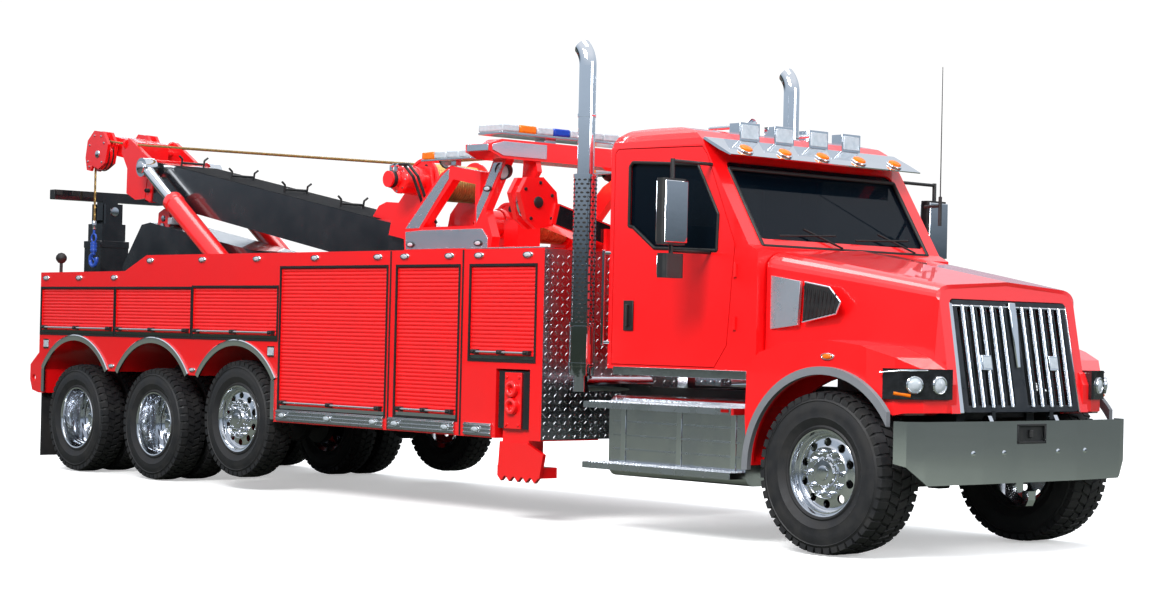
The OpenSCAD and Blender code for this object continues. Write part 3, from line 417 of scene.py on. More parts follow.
# ---------------------------------------------------------------------------
# Painted shells. Cab, doors, hood, locker body and winches of folded sheet in
# two-pack red: a clear coat over it gives the deep wet gloss.
clear_coat_red = grained(finish("clear_coat_red", "#F40A10", roughness=0.4, Coat_Weight=1.0,
                                Coat_Roughness=0.03), 0.012, 0.00003, (0.28, 0.42),
                         "#E00A10", 0.5, 1.2)
dress(clear_coat_red, "cab_shell", "door_right", "door_left", "hood", "body_right", "body_left",
      "body_deck", "winch_lower", "winch_upper", "boom_head", "side_puller",
      "outrigger_foot_right", "outrigger_foot_left", "lift_barrels", "pylon")


# ---------------------------------------------------------------------------
# Lifting gear. Boom, pedestal, mast, underlift and outrigger beams of welded
# plate in black gloss, a little uneven where the weld heat marked the plate.
gloss_black = grained(finish("gloss_black_paint", "#15171B", roughness=0.2, Coat_Weight=1.0,
                             Coat_Roughness=0.04), 0.01, 0.00006, (0.12, 0.3),
                      "#2A2B2C", 0.5, 0.3)
dress(gloss_black, "rear_mast", "boom_pedestal", "boom_outer", "boom_inner", "underlift_arm",
      "stinger", "crossbar", "outrigger_beam_right", "outrigger_beam_left")


# ---------------------------------------------------------------------------
# Fender flares. Moulded arch plastic in mid grey, with a leather-like grain
# and a dull sheen, screwed to the hood's fenders.
arch_plastic = grained(finish("moulded_arch_plastic", "#74767B", roughness=0.55), 0.0025, 0.0003,
                       (0.45, 0.7), "#84858A", 0.4, 0.2)
dress(arch_plastic, "fender_flares")


# ---------------------------------------------------------------------------
# Mudflaps. Plain sheets of black rubber behind the last wheels, dusty low
# down and hung from the tail.
flap_rubber = grained(finish("mudflap_rubber", "#18181A", roughness=0.7), 0.004, 0.0003,
                      (0.6, 0.85), "#45413B", 0.4, 0.3)
dress(flap_rubber, "mudflaps")


# ---------------------------------------------------------------------------
# Cab interior. Dashboard, seats and wheel in dark moulded plastic and cloth,
# seen only through the glass and the open doors.
cab_plastic = grained(finish("cab_plastic", "#222326", roughness=0.7), 0.003, 0.0003,
                      (0.6, 0.8), "#2F3033", 0.4, 0.2)
dress(cab_plastic, "cab_interior")


# ---------------------------------------------------------------------------
# Cab glass. Dark tinted safety glass, smooth and nearly black from outside,
# bonded into the cab and the doors.
tinted_glass = grained(finish("tinted_safety_glass", "#061019", roughness=0.02, Alpha=0.8,
                              IOR=1.5, Specular_IOR_Level=0.15), 0.4, 0.00005)
dress(tinted_glass, "cab_glass", "door_glass_right", "door_glass_left")


# ---------------------------------------------------------------------------
# Hook. A forged lifting hook in blue enamel, worn a little on its bowl, that
# hangs from the boom's rope.
hook_enamel = grained(finish("blue_hook_enamel", "#1F4FB8", roughness=0.35, Coat_Weight=0.5),
                      0.004, 0.0003, (0.3, 0.5), "#16356F", 0.5, 0.05)
dress(hook_enamel, "hook")


# ---------------------------------------------------------------------------
# Roll-up locker shutters. Interlocking aluminium slats painted body red, in
# black rubber-lined tracks, each drawn down by a chrome bar in three brackets.
shutter_openings = [
    (-10.12, -8.78, 1.325, 1.755), (-8.745, -7.47, 1.325, 1.755), (-7.435, -6.135, 1.325, 1.765),
    (-6.08, -4.62, 0.735, 1.93), (-4.48, -3.71, 0.745, 1.93), (-3.56, -2.81, 1.22, 1.93)]
side_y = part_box("body_right")[0].y
slat_pitch, slat_gap = 0.031, 0.005
slat_paint = grained(finish("painted_slat_alloy", "#F20A10", roughness=0.5, Coat_Weight=0.35,
                            Coat_Roughness=0.08), 0.004, 0.00008, (0.42, 0.58), "#DC0A10",
                     0.4, 0.5)


def plate(bm, points, depth):
    """A flat plate: its outline's points, pushed along depth."""
    rim_face = bm.faces.new([bm.verts.new(spot(*p)) for p in points])
    grown = bmesh.ops.extrude_face_region(bm, geom=[rim_face])
    moved = [v for v in grown["geom"] if isinstance(v, bmesh.types.BMVert)]
    bmesh.ops.translate(bm, vec=Vector(depth), verts=moved)


def mirrored(bm):
    """Adds the same pieces on the truck's other side."""
    copy = bmesh.ops.duplicate(bm, geom=bm.verts[:] + bm.edges[:] + bm.faces[:])
    verts = [v for v in copy["geom"] if isinstance(v, bmesh.types.BMVert)]
    bmesh.ops.scale(bm, vec=(1.0, -1.0, 1.0), verts=verts)


def block(bm, low, high, turn=None):
    """A box between two corners, turned about its middle if asked."""
    low, high = spot(*low), spot(*high)
    size = high - low
    place = Matrix.Translation((low + high) / 2)
    if turn:
        place = place @ turn
    return bmesh.ops.create_cube(bm, size=1.0, matrix=place @ Matrix.Diagonal((*size, 1.0)))


slats = bmesh.new()
for x0, x1, z0, z1 in shutter_openings:
    count = round((z1 - z0 - 0.002) / slat_pitch)
    pitch = (z1 - z0 - 0.002) / count
    outline = [(x0 + 0.001, side_y + 0.027, z1 - 0.001), (x0 + 0.001, side_y + 0.027, z0 + 0.001)]
    for row in range(count):
        z = z0 + 0.001 + row * pitch
        outline += [(x0 + 0.001, side_y + 0.017, z + 0.0005),
                    (x0 + 0.001, side_y + 0.010, z + slat_gap),
                    (x0 + 0.001, side_y + 0.008, z + pitch / 2),
                    (x0 + 0.001, side_y + 0.011, z + pitch - 0.004)]
    plate(slats, outline, (x1 - x0 - 0.002, 0, 0))
mirrored(slats)
fitted("shutter_slats", slats, slat_paint, "chassis", smooth=False, stands_for=("shutters",))

# Black rubber: door and shutter seals, the joints between body modules, and the painted shade in the stack
# guards' holes.
seal_rubber_and_painted_shade = grained(finish("black_seal_rubber_and_painted_shade", "#0D0D0E", roughness=0.6), 0.003, 0.0002,
                      (0.5, 0.7), "#2A2825", 0.3, 0.2)
tracks = bmesh.new()
for x0, x1, z0, z1 in shutter_openings:
    out_y, in_y, w = side_y - 0.006, side_y + 0.004, 0.02
    for low, high in (((x0 - w, z0 - w), (x0, z1 + w)), ((x1, z0 - w), (x1 + w, z1 + w)),
                      ((x0, z1), (x1, z1 + w)), ((x0, z0 - w), (x1, z0))):
        block(tracks, (low[0], out_y, low[1]), (high[0], in_y, high[1]))
for x in (-4.57, -3.66):
    block(tracks, (x - 0.009, side_y - 0.003, 0.625), (x + 0.009, side_y + 0.004, 2.06))
mirrored(tracks)
fitted("shutter_tracks", tracks, seal_rubber_and_painted_shade, "chassis", edge=0.002)

# Satin black powder coat on the small brackets: even, with a dull sheen.
satin_steel = grained(finish("satin_black_steel", "#1B1C1E", roughness=0.45), 0.003, 0.0002,
                      (0.35, 0.6), "#33312D", 0.4, 0.12)
latch_bars, latch_brackets = bmesh.new(), bmesh.new()
for x0, x1, z0, z1 in shutter_openings:
    z, y = z0 + 0.055, side_y - 0.02
    rod(latch_bars, (x0 + 0.05, y, z), (x1 - 0.05, y, z), 0.009, 12)
    for x in (x0 + 0.07, (x0 + x1) / 2, x1 - 0.07):
        block(latch_brackets, (x - 0.03, y - 0.012, z - 0.017), (x + 0.03, side_y + 0.012, z + 0.017))
        rod(latch_brackets, (x - 0.016, y - 0.016, z), (x + 0.016, y - 0.016, z), 0.008, 10)
    block(latch_bars, (x0 + 0.002, side_y + 0.002, z0 + 0.002),
          (x1 - 0.002, side_y + 0.012, z0 + 0.03))
mirrored(latch_bars)
mirrored(latch_brackets)
fitted("latch_bars", latch_bars, bright_chrome, "chassis")
fitted("latch_brackets", latch_brackets, satin_steel, "chassis", edge=0.004)


# ---------------------------------------------------------------------------
# Body trim. Stainless arch strips, a ribbed alloy rub rail, and chrome-rimmed
# marker lamps riveted along the top and bottom edges.
arch_centres = [(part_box(f"wheel_{n}_right")[0].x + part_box(f"wheel_{n}_right")[1].x) / 2 - axle_x
                for n in ("pusher", "drive_front", "drive_rear")]
arch_height, arch_radius, arch_half_angle = 0.555, 0.715, 54.5
strips = bmesh.new()
for x in arch_centres:
    first = Matrix.Rotation(math.radians(-arch_half_angle), 3, "Y") @ Vector((0, 0, 1))
    turned(strips, [(arch_radius - 0.012, 0.0), (arch_radius - 0.012, 0.014),
                    (arch_radius - 0.006, 0.018), (arch_radius + 0.036, 0.018),
                    (arch_radius + 0.044, 0.012), (arch_radius + 0.044, 0.0),
                    (arch_radius - 0.012, 0.0)],
           (x, side_y, arch_height), (0, -1, 0), 40, -2 * arch_half_angle, first)
end_x = arch_radius * math.sin(math.radians(arch_half_angle))
for x, low_z in ((arch_centres[2] - end_x, 0.75), (arch_centres[0] + end_x, 0.64)):
    block(strips, (x - 0.026, side_y - 0.016, low_z), (x + 0.026, side_y, 0.975))
mirrored(strips)
fitted("arch_strips", strips, bright_chrome, "chassis")

# Mill-finish alloy, rubbed half bright: the rub rails and the front wall's plate.
checker_alloy = grained(finish("checker_plate_alloy", "#C9CDD2", metallic=1.0, roughness=0.24),
                        0.01, 0.0001, (0.16, 0.36), "#9EA3A9", 0.5, 0.25)
rails = bmesh.new()
for x0, x1 in ((-6.1, -4.62), (-4.55, -3.72), (-3.6, -3.28)):
    block(rails, (x0, side_y - 0.016, 0.632), (x1, side_y, 0.728))
    for z in (0.650, 0.680, 0.710):
        block(rails, (x0, side_y - 0.024, z - 0.008), (x1, side_y - 0.01, z + 0.008))
mirrored(rails)
fitted("rub_rails", rails, checker_alloy, "chassis", edge=0.004)


def oval_lamp(rims, lenses, x, y, z, face, long=0.058, tall=0.026):
    """A chrome bezel with a domed lens, on a face that looks along Y."""
    for bm, outline in ((rims, [(1.0, 0.0), (1.0, 0.006), (0.9, 0.013), (0.72, 0.013), (0.7, 0.004)]),
                        (lenses, [(0.71, 0.002), (0.69, 0.012), (0.5, 0.018), (0.0, 0.02)])):
        single = bmesh.new()
        turned(single, outline, (x, y, z), (0, face, 0), 20)
        bmesh.ops.scale(single, vec=(long, 1.0, tall), verts=single.verts,
                        space=Matrix.Translation(-spot(x, y, z)))
        shape = bpy.data.meshes.new("oval")
        single.to_mesh(shape)
        single.free()
        bm.from_mesh(shape)
        bpy.data.meshes.remove(shape)


lamp_rims, lamp_lenses = bmesh.new(), bmesh.new()
for x, z in [(x, 1.86) for x in (-10.04, -9.42, -8.78)] + \
            [(x, 2.015) for x in (-8.16, -7.3, -6.45, -5.6, -4.74, -4.39, -3.83, -3.47, -2.9)] + \
            [(x, 0.68) for x in (-6.0, -5.36, -4.74, -4.45, -3.82, -3.45)]:
    oval_lamp(lamp_rims, lamp_lenses, x, side_y - (0.018 if z < 0.7 else 0.0), z, -1)
for x in (-8.79, -7.42):
    oval_lamp(lamp_rims, lamp_lenses, x, side_y, 1.03, -1, 0.05, 0.02)
for x in (-10.0, -6.2):
    block(lamp_rims, (x - 0.05, side_y - 0.012, 1.175), (x + 0.05, side_y, 1.265))
    block(lamp_lenses, (x - 0.038, side_y - 0.018, 1.187), (x + 0.038, side_y - 0.01, 1.253))
mirrored(lamp_rims)
mirrored(lamp_lenses)
fitted("marker_rims", lamp_rims, bright_chrome, "chassis")
# Clear polycarbonate lenses over bright reflectors.
clear_lens = grained(finish("clear_lens", "#DFE7EE", roughness=0.08, Transmission_Weight=0.35,
                            IOR=1.5), 0.02, 0.0003, (0.05, 0.15), "#AEBBC6", 0.6, 0.04)
fitted("marker_lenses", lamp_lenses, clear_lens, "chassis")


# ---------------------------------------------------------------------------
# Checker plate on the body's front wall and along its top front edge, rolled
# from bright aluminium with raised lozenges that cross at right angles.
wall_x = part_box("body_deck")[1].x - axle_x
lozenges = bmesh.new()
half_wall = -side_y - 0.004
block(lozenges, (wall_x - 0.001, -half_wall, 0.63), (wall_x + 0.003, half_wall, 2.06))
lozenge_pitch = 0.052
for row in range(27):
    for col in range(int(2 * half_wall / lozenge_pitch)):
        y, z = -half_wall + (col + 0.6) * lozenge_pitch, 0.65 + row * lozenge_pitch
        tilt = 45 if (row + col) % 2 else -45
        bmesh.ops.create_cone(
            lozenges, cap_ends=True, segments=6, radius1=0.021, radius2=0.012, depth=0.004,
            matrix=Matrix.Translation(spot(wall_x + 0.0045, y, z))
            @ Matrix.Rotation(math.radians(tilt), 4, "X") @ Matrix.Rotation(math.pi / 2, 4, "Y")
            @ Matrix.Diagonal((1.0, 0.3, 1.0, 1.0)))
fitted("front_checker_plate", lozenges, checker_alloy, "chassis", smooth=False)

grip = bmesh.new()
block(grip, (-3.64, side_y + 0.002, 2.064), (wall_x, side_y + 0.1, 2.071))
for step in range(30):
    x = -3.62 + step * 0.03
    turned(grip, [(0.011, 0.0), (0.009, 0.006), (0.005, 0.006), (0.004, 0.0)],
           (x, side_y + 0.05, 2.071), (0, 0, 1), 8)
mirrored(grip)
fitted("grip_strips", grip, checker_alloy, "chassis")


# ---------------------------------------------------------------------------
# Tail fittings. Two posts with a rubber ball lamp and a chrome lamp bracket,
# the clamp bars of the mudflaps, and red tail lamps in the rear plate.
tail_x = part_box("mudflaps")[0].x - axle_x
posts, balls, tail_lenses = bmesh.new(), bmesh.new(), bmesh.new()
for side in (-1, 1):
    rod(posts, (-10.02, side * 1.15, 1.9), (-10.02, side * 1.15, 2.02), 0.016, 12)
    turned(balls, [(0.0, -0.055), (0.03, -0.046), (0.05, -0.02), (0.055, 0.0), (0.05, 0.022),
                   (0.03, 0.046), (0.0, 0.055)], (-10.02, side * 1.15, 2.06), (0, 0, 1), 24)
    block(posts, (tail_x - 0.006, side * 0.99 - 0.28, 0.70), (tail_x + 0.02, side * 0.99 + 0.28, 0.735))
    for z in (0.95, 1.12):
        turned(tail_lenses, [(0.058, 0.0), (0.055, 0.012), (0.03, 0.022), (0.0, 0.024)],
               (-10.141, side * 0.52, z), (-1, 0, 0), 24)
block(posts, (-10.13, -0.44, 1.27), (-10.09, -0.34, 1.30))
fitted("tail_posts", posts, satin_steel, "chassis", edge=0.003)
fitted("ball_lamps", balls, seal_rubber_and_painted_shade, "chassis")
red_lens = grained(finish("red_lens", "#B0070B", roughness=0.12, Transmission_Weight=0.25),
                   0.01, 0.0004, (0.08, 0.2), "#7A0508", 0.5, 0.03)
fitted("tail_lenses", tail_lenses, red_lens, "chassis")


# ---------------------------------------------------------------------------
# Outrigger legs. A red face plate with two round towing eyes on each leg
# housing, bolted through the black box section.
for side, out in (("right", -1), ("left", 1)):
    face = bmesh.new()
    y = out * 1.281
    block(face, (-3.14, min(y, y + out * 0.012), 0.70), (-2.95, max(y, y + out * 0.012), 1.125))
    for z in (0.87, 1.0):
        turned(face, [(0.028, 0.0), (0.062, 0.0), (0.066, 0.012), (0.06, 0.032), (0.045, 0.036),
                      (0.032, 0.03), (0.028, 0.016), (0.028, 0.0)], (-3.045, y + out * 0.01, z),
               (0, out, 0), 28)
    for x in (-3.115, -2.975):
        for z in (0.73, 1.09):
            rod(face, (x, y + out * 0.01, z), (x, y + out * 0.022, z), 0.013, 6)
    fitted(f"outrigger_face_{side}", face, clear_coat_red, f"outrigger_beam_{side}", edge=0.002)


# ---------------------------------------------------------------------------
# Hood front. A chrome surround with slim upright bars over a black woven
# mesh, a plain centre blade, and two square lamps set into the bars.
smoked_steel = grained(finish("smoked_steel", "#34373B", metallic=0.8, roughness=0.35), 0.004,
                       0.0002, (0.25, 0.45), "#4A4D51", 0.4, 0.1)
dress(smoked_steel, "grille")
lean = math.atan2(0.150, 0.840)


def on_grille(y, up, proud=0.0):
    """A point on the grille's leaning front face, up from its lower edge."""
    return (0.705 - up * math.sin(lean) + proud * math.cos(lean), y,
            0.966 + up * math.cos(lean) + proud * math.sin(lean))


mesh_wire = bmesh.new()
for step in range(52):
    y = -0.612 + step * 0.024
    rod(mesh_wire, on_grille(y, 0.045, -0.052), on_grille(y, 0.71, -0.052), 0.003, 5)
for step in range(28):
    up = 0.05 + step * 0.0243
    rod(mesh_wire, on_grille(-0.62, up, -0.056), on_grille(0.62, up, -0.056), 0.003, 5)
fitted("grille_mesh", mesh_wire, satin_steel, "hood")

bars = bmesh.new()
for side in (-1, 1):
    for step in range(5):
        y = side * (0.0625 + 0.105 * step + 0.0525)
        rod(bars, on_grille(y, 0.03, 0.004), on_grille(y, 0.72, 0.004), 0.017, 12)
    # Surround, with its wide outer edges
    plate(bars, [on_grille(side * 0.638, 0.0, -0.02), on_grille(side * 0.705, 0.0, -0.05),
                 on_grille(side * 0.672, 0.765, -0.05), on_grille(side * 0.628, 0.73, -0.02)],
          (0.028, 0, 0))
plate(bars, [on_grille(-0.672, 0.762, -0.05), on_grille(0.672, 0.762, -0.05),
             on_grille(0.63, 0.715, -0.02), on_grille(-0.63, 0.715, -0.02)], (0.028, 0, 0))
# Centre blade: plain, wider towards the top, and no higher than the surround
plate(bars, [on_grille(-0.018, 0.3, 0.004), on_grille(0.018, 0.3, 0.004),
             on_grille(0.036, 0.6, 0.012), on_grille(0.036, 0.745, 0.012),
             on_grille(-0.036, 0.745, 0.012), on_grille(-0.036, 0.6, 0.012)], (0.012, 0, 0.002))
fitted("grille_bars", bars, bright_chrome, "hood", edge=0.006)


# ---------------------------------------------------------------------------
# Lamps of the front. Two projector lamps and an amber strip in a black bowl
# behind a clear cover on each corner, and square lamps in the grille.
amber_lens = grained(finish("amber_lens", "#F07A10", roughness=0.1, Transmission_Weight=0.2,
                            Emission_Color=shade("#F06A00"), Emission_Strength=0.15),
                     0.008, 0.0004, (0.06, 0.18), "#B8500A", 0.5, 0.03)
lamp_bowl = grained(finish("smoked_lamp_bowl", "#17181B", roughness=0.12, Coat_Weight=1.0),
                    0.02, 0.0002, (0.08, 0.2), "#2C2E33", 0.5, 0.05)
dress(lamp_bowl, "headlamps")
lamp_chrome, lamp_glass, lamp_amber = bmesh.new(), bmesh.new(), bmesh.new()
for side in (-1, 1):
    for x, y, z, face, size in ((0.625, 1.055, 1.145, (0.8, 0.6, 0.0), 0.058),
                                (0.694, 0.885, 1.145, (0.975, 0.22, 0.0), 0.06)):
        look = (face[0], side * face[1], face[2])
        turned(lamp_chrome, [(size, -0.004), (size, 0.008), (size - 0.008, 0.014),
                             (size - 0.014, 0.008), (size - 0.022, 0.002)],
               (x, side * y, z), look, 28)
        turned(lamp_glass, [(size - 0.013, 0.004), (size - 0.022, 0.014), (size - 0.04, 0.02),
                            (0.0, 0.022)], (x, side * y, z), look, 28)
    rod(lamp_amber, (0.53, side * 1.152, 1.09), (0.606, side * 1.071, 1.075), 0.011, 10)
    rod(lamp_chrome, (0.45, side * 1.203, 1.222), (0.56, side * 1.13, 1.236), 0.006, 8)
    rod(lamp_chrome, (0.56, side * 1.13, 1.236), (0.672, side * 0.98, 1.24), 0.006, 8)
    oval_lamp(lamp_chrome, lamp_amber, 0.02, side * 1.214, 1.315, side, 0.06, 0.024)
    # Square driving lamp in the grille's bars
    for bm, low, high in ((lamp_chrome, -0.05, 0.05), (lamp_glass, -0.037, 0.037)):
        proud = 0.035 if bm is lamp_chrome else 0.041
        mid_y = side * 0.37
        face_points = [on_grille(mid_y + a, 0.33 + b, proud)
                       for a, b in ((low, low), (high, low), (high, high), (low, high))]
        plate(bm, face_points, (-0.03 if bm is lamp_chrome else -0.008, 0, 0))
fitted("lamp_chrome", lamp_chrome, bright_chrome, "hood", edge=0.002)
fitted("lamp_glass", lamp_glass, clear_lens, "hood")
fitted("lamp_amber", lamp_amber, amber_lens, "hood")


# ---------------------------------------------------------------------------
# Hood sides. A blank polished badge panel and a black mesh vent in a polished
# rim on each side.
side_trim, vents = bmesh.new(), bmesh.new()
for side in (-1, 1):
    y = side * 0.952
    plate(side_trim, [(-0.72, y, 1.49), (-0.47, y, 1.52), (-0.45, y, 1.82), (-0.72, y, 1.86)],
          (0, side * 0.024, 0))
    plate(vents, [(-0.435, y, 1.54), (-0.14, y, 1.6), (-0.1, y, 1.68), (-0.2, y, 1.78),
                  (-0.42, y, 1.815)], (0, side * 0.012, 0))
    for step in range(8):
        x = -0.42 + step * 0.036
        rod(vents, (x, y + side * 0.014, 1.56 + step * 0.006),
            (x + 0.03, y + side * 0.014, 1.79 - step * 0.008), 0.005, 6)
        rod(vents, (x, y + side * 0.014, 1.79 - step * 0.008),
            (x + 0.03, y + side * 0.014, 1.56 + step * 0.006), 0.005, 6)
    rod(side_trim, (-0.435, y + side * 0.012, 1.54), (-0.14, y + side * 0.008, 1.6), 0.006, 8)
    rod(side_trim, (-0.42, y + side * 0.012, 1.815), (-0.2, y + side * 0.008, 1.78), 0.006, 8)
    rod(side_trim, (-0.2, y + side * 0.008, 1.78), (-0.1, y + side * 0.008, 1.68), 0.006, 8)
    rod(side_trim, (-0.1, y + side * 0.008, 1.68), (-0.14, y + side * 0.008, 1.6), 0.006, 8)
badge_steel = grained(finish("brushed_badge_steel", "#DCE4EE", metallic=0.85, roughness=0.3), 0.2,
                      0.0002, (0.22, 0.36), "#BBC6D2", 0.4, 0.3)
fitted("hood_badge_panels", side_trim, badge_steel, "hood", edge=0.006)
fitted("hood_vents", vents, satin_steel, "hood")


# ---------------------------------------------------------------------------
# Bumper. Deep polished steel with four domed bolts, a black tow-pin pocket
# and the recovery eye below.
dress(bright_chrome, "bumper")
bumper_bolts, pocket = bmesh.new(), bmesh.new()
for y in (-0.62, -0.3, 0.3, 0.62):
    face_x = 0.779
    turned(bumper_bolts, [(0.02, -0.004), (0.02, 0.003), (0.014, 0.009), (0.0, 0.011)],
           (face_x if abs(y) < 0.52 else face_x - 0.006, y, 0.7), (1, 0, 0), 16)
fitted("bumper_bolts", bumper_bolts, bright_chrome, "chassis")
block(pocket, (0.70, -0.148, 0.772), (0.765, 0.148, 0.878))
for y in (-0.15, 0.15):
    block(pocket, (0.775, y - 0.008, 0.762), (0.786, y + 0.008, 0.888))
for z in (0.766, 0.884):
    block(pocket, (0.775, -0.158, z - 0.008), (0.786, 0.158, z + 0.008))
rod(pocket, (0.772, 0.0, 0.8), (0.772, 0.0, 0.85), 0.02, 16)
fitted("tow_pin_pocket", pocket, satin_steel, "chassis", edge=0.003)


# ---------------------------------------------------------------------------
# Cab outside. Door handle, black window and windscreen rubbers, chrome grab
# bars, wipers, and the polished strip under the doors.
cab_y = -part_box("door_right")[0].y
for side, out in (("right", -1), ("left", 1)):
    y = out * cab_y
    pull, rubber, brights = bmesh.new(), bmesh.new(), bmesh.new()
    block(pull, (-2.1, min(y, y + out * 0.012), 1.46), (-2.0, max(y, y + out * 0.012), 1.68))
    rod(pull, (-2.05, y + out * 0.03, 1.49), (-2.05, y + out * 0.03, 1.65), 0.013, 12)
    for z in (1.5, 1.64):
        rod(pull, (-2.05, y, z), (-2.05, y + out * 0.032, z), 0.012, 10)
    fitted(f"door_handle_{side}", pull, satin_steel, f"door_{side}", edge=0.004)
    outline = [(-2.07, 2.225), (-2.025, 2.215), (-1.8, 2.06), (-1.175, 2.035), (-1.165, 2.29),
               (-1.375, 2.65), (-2.04, 2.69), (-2.07, 2.66), (-2.07, 2.225)]
    for start, end in zip(outline, outline[1:]):
        rod(rubber, (start[0], y, start[1]), (end[0], y, end[1]), 0.012, 10)
    fitted(f"window_rubber_{side}", rubber, seal_rubber_and_painted_shade, f"door_{side}")
    block(brights, (-2.2, min(y, y + out * 0.008), 1.135), (-0.86, max(y, y + out * 0.008), 1.195))
    rod(brights, (-2.3, y + out * 0.03, 1.35), (-2.3, y + out * 0.03, 2.05), 0.014, 12)
    for z in (1.37, 2.03):
        rod(brights, (-2.25, y - out * 0.02, z), (-2.3, y + out * 0.03, z), 0.012, 10)
    fitted(f"cab_brights_{side}", brights, bright_chrome, "chassis", edge=0.002)

screen = bmesh.new()
corners = [(-0.866, -0.905, 2.07), (-0.866, 0.905, 2.07), (-1.212, 0.905, 2.625),
           (-1.212, -0.905, 2.625)]
for start, end in zip(corners, corners[1:] + corners[:1]):
    rod(screen, start, end, 0.014, 10)
for y0, y1 in ((-0.72, -0.08), (0.1, 0.74)):
    rod(screen, (-0.85, y1, 2.085), (-0.93, y0 + 0.3, 2.21), 0.008, 8)
    rod(screen, (-0.885, y0, 2.15), (-0.905, y0 + 0.62, 2.175), 0.007, 8)
fitted("windscreen_rubber", screen, seal_rubber_and_painted_shade, "chassis")


# ---------------------------------------------------------------------------
# Roof. Five amber lamps under a polished visor, square chrome work lamps and
# an air horn on the roof, and a whip antenna.
dress(bright_chrome, "roof_trim")
roof_chrome, roof_amber, roof_glass = bmesh.new(), bmesh.new(), bmesh.new()
for y in (-0.82, -0.41, 0.0, 0.41, 0.82):
    for bm, outline in ((roof_chrome, [(0.062, -0.004), (0.062, 0.006), (0.05, 0.01)]),
                        (roof_amber, [(0.052, 0.002), (0.048, 0.022), (0.03, 0.03), (0.0, 0.032)])):
        turned(bm, outline, (-1.135, y, 2.757), (0.45, 0, 0.9), 20)
for y in (-0.56, -0.19, 0.19, 0.56):
    block(roof_chrome, (-1.352, y - 0.106, 2.845), (-1.34, y + 0.106, 2.981))
    block(roof_glass, (-1.341, y - 0.088, 2.862), (-1.333, y + 0.088, 2.964))
turned(roof_chrome, [(0.0, 0.0), (0.016, 0.0), (0.017, 0.3), (0.03, 0.38), (0.055, 0.44),
                     (0.05, 0.44), (0.02, 0.37), (0.0, 0.36)], (-1.95, -0.35, 2.985), (1, 0, 0), 24)
for x in (-1.9, -1.7):
    rod(roof_chrome, (x, -0.35, 2.94), (x, -0.35, 2.98), 0.012, 10)
fitted("roof_chrome", roof_chrome, bright_chrome, "chassis", edge=0.003)
fitted("roof_ambers", roof_amber, amber_lens, "chassis")
fitted("roof_glass", roof_glass, clear_lens, "chassis", edge=0.004)
whip = bmesh.new()
rod(whip, (-0.83, 1.0, 2.3), (-0.83, 1.0, 2.52), 0.014, 10)
rod(whip, (-0.83, 1.0, 2.5), (-0.83, 1.0, 3.5), 0.005, 8, 0.003)
rod(whip, (-1.0, 1.03, 2.45), (-0.83, 1.0, 2.45), 0.012, 8)
fitted("whip_antenna", whip, satin_steel, "chassis")


# ---------------------------------------------------------------------------
# Mirrors. Moulded black backs with a chrome face cap, silvered glass that
# looks back, and a convex glass below.
dress(satin_steel, "mirror_right", "mirror_left")
mirror_glass = grained(finish("silvered_mirror", "#C8D0D6", metallic=1.0, roughness=0.02),
                       0.5, 0.00003)
for side, out in (("right", -1), ("left", 1)):
    cap, glass = bmesh.new(), bmesh.new()
    y = out * 1.44
    block(cap, (-1.2, y - 0.11, 2.075), (-1.188, y + 0.11, 2.505))
    fitted(f"mirror_cap_{side}", cap, bright_chrome, f"door_{side}", edge=0.018)
    block(glass, (-1.294, y - 0.1, 2.08), (-1.288, y + 0.1, 2.5))
    block(glass, (-1.294, y - 0.085, 1.85), (-1.288, y + 0.085, 1.985))
    fitted(f"mirror_glass_{side}", glass, mirror_glass, f"door_{side}", edge=0.004)


# ---------------------------------------------------------------------------
# Exhaust. Chromed stacks in pierced heat guards, clamped top and bottom over
# polished lower shrouds.
dress(bright_chrome, "exhaust_stacks")
stack_x, stack_y, hole_pitch = -2.47, 1.125, 0.0318
guards, guard_hole_shades, clamps = bmesh.new(), bmesh.new(), bmesh.new()
for side in (-1, 1):
    y = side * stack_y
    turned(guards, [(0.0785, 1.49), (0.086, 1.492), (0.086, 2.588), (0.0785, 2.59)],
           (stack_x, y, 0.0), (0, 0, 1), 40)
    # The guards are not cut through: black discs on their face are painted shade for the holes.
    for row in range(34):
        for col in range(12):
            angle = math.radians(30 * col + (15 if row % 2 else 0))
            look = Vector((math.cos(angle), math.sin(angle), 0))
            middle = spot(stack_x, y, 1.52 + row * hole_pitch) + look * 0.0865
            bmesh.ops.create_cone(
                guard_hole_shades, cap_ends=True, segments=6, radius1=0.015, radius2=0.013, depth=0.003,
                matrix=Matrix.Translation(middle) @ look.to_track_quat("Z", "Y").to_matrix().to_4x4()
                @ Matrix.Diagonal((1.0, 0.62, 1.0, 1.0)))
    for z, r in ((1.5, 0.101), (2.6, 0.09), (3.05, 0.069), (1.2, 0.101)):
        turned(clamps, [(r - 0.008, -0.014), (r, -0.013), (r, 0.013), (r - 0.008, 0.014)],
               (stack_x, y, z), (0, 0, 1), 36)
        rod(clamps, (stack_x + r, y - 0.02, z), (stack_x + r, y + 0.02, z), 0.008, 8)
fitted("stack_guards", guards, bright_chrome, "chassis")
# The holes' painted shade, in the black rubber finish.
fitted("stack_guard_hole_shades", guard_hole_shades, seal_rubber_and_painted_shade, "chassis", smooth=False)
fitted("stack_clamps", clamps, bright_chrome, "chassis")


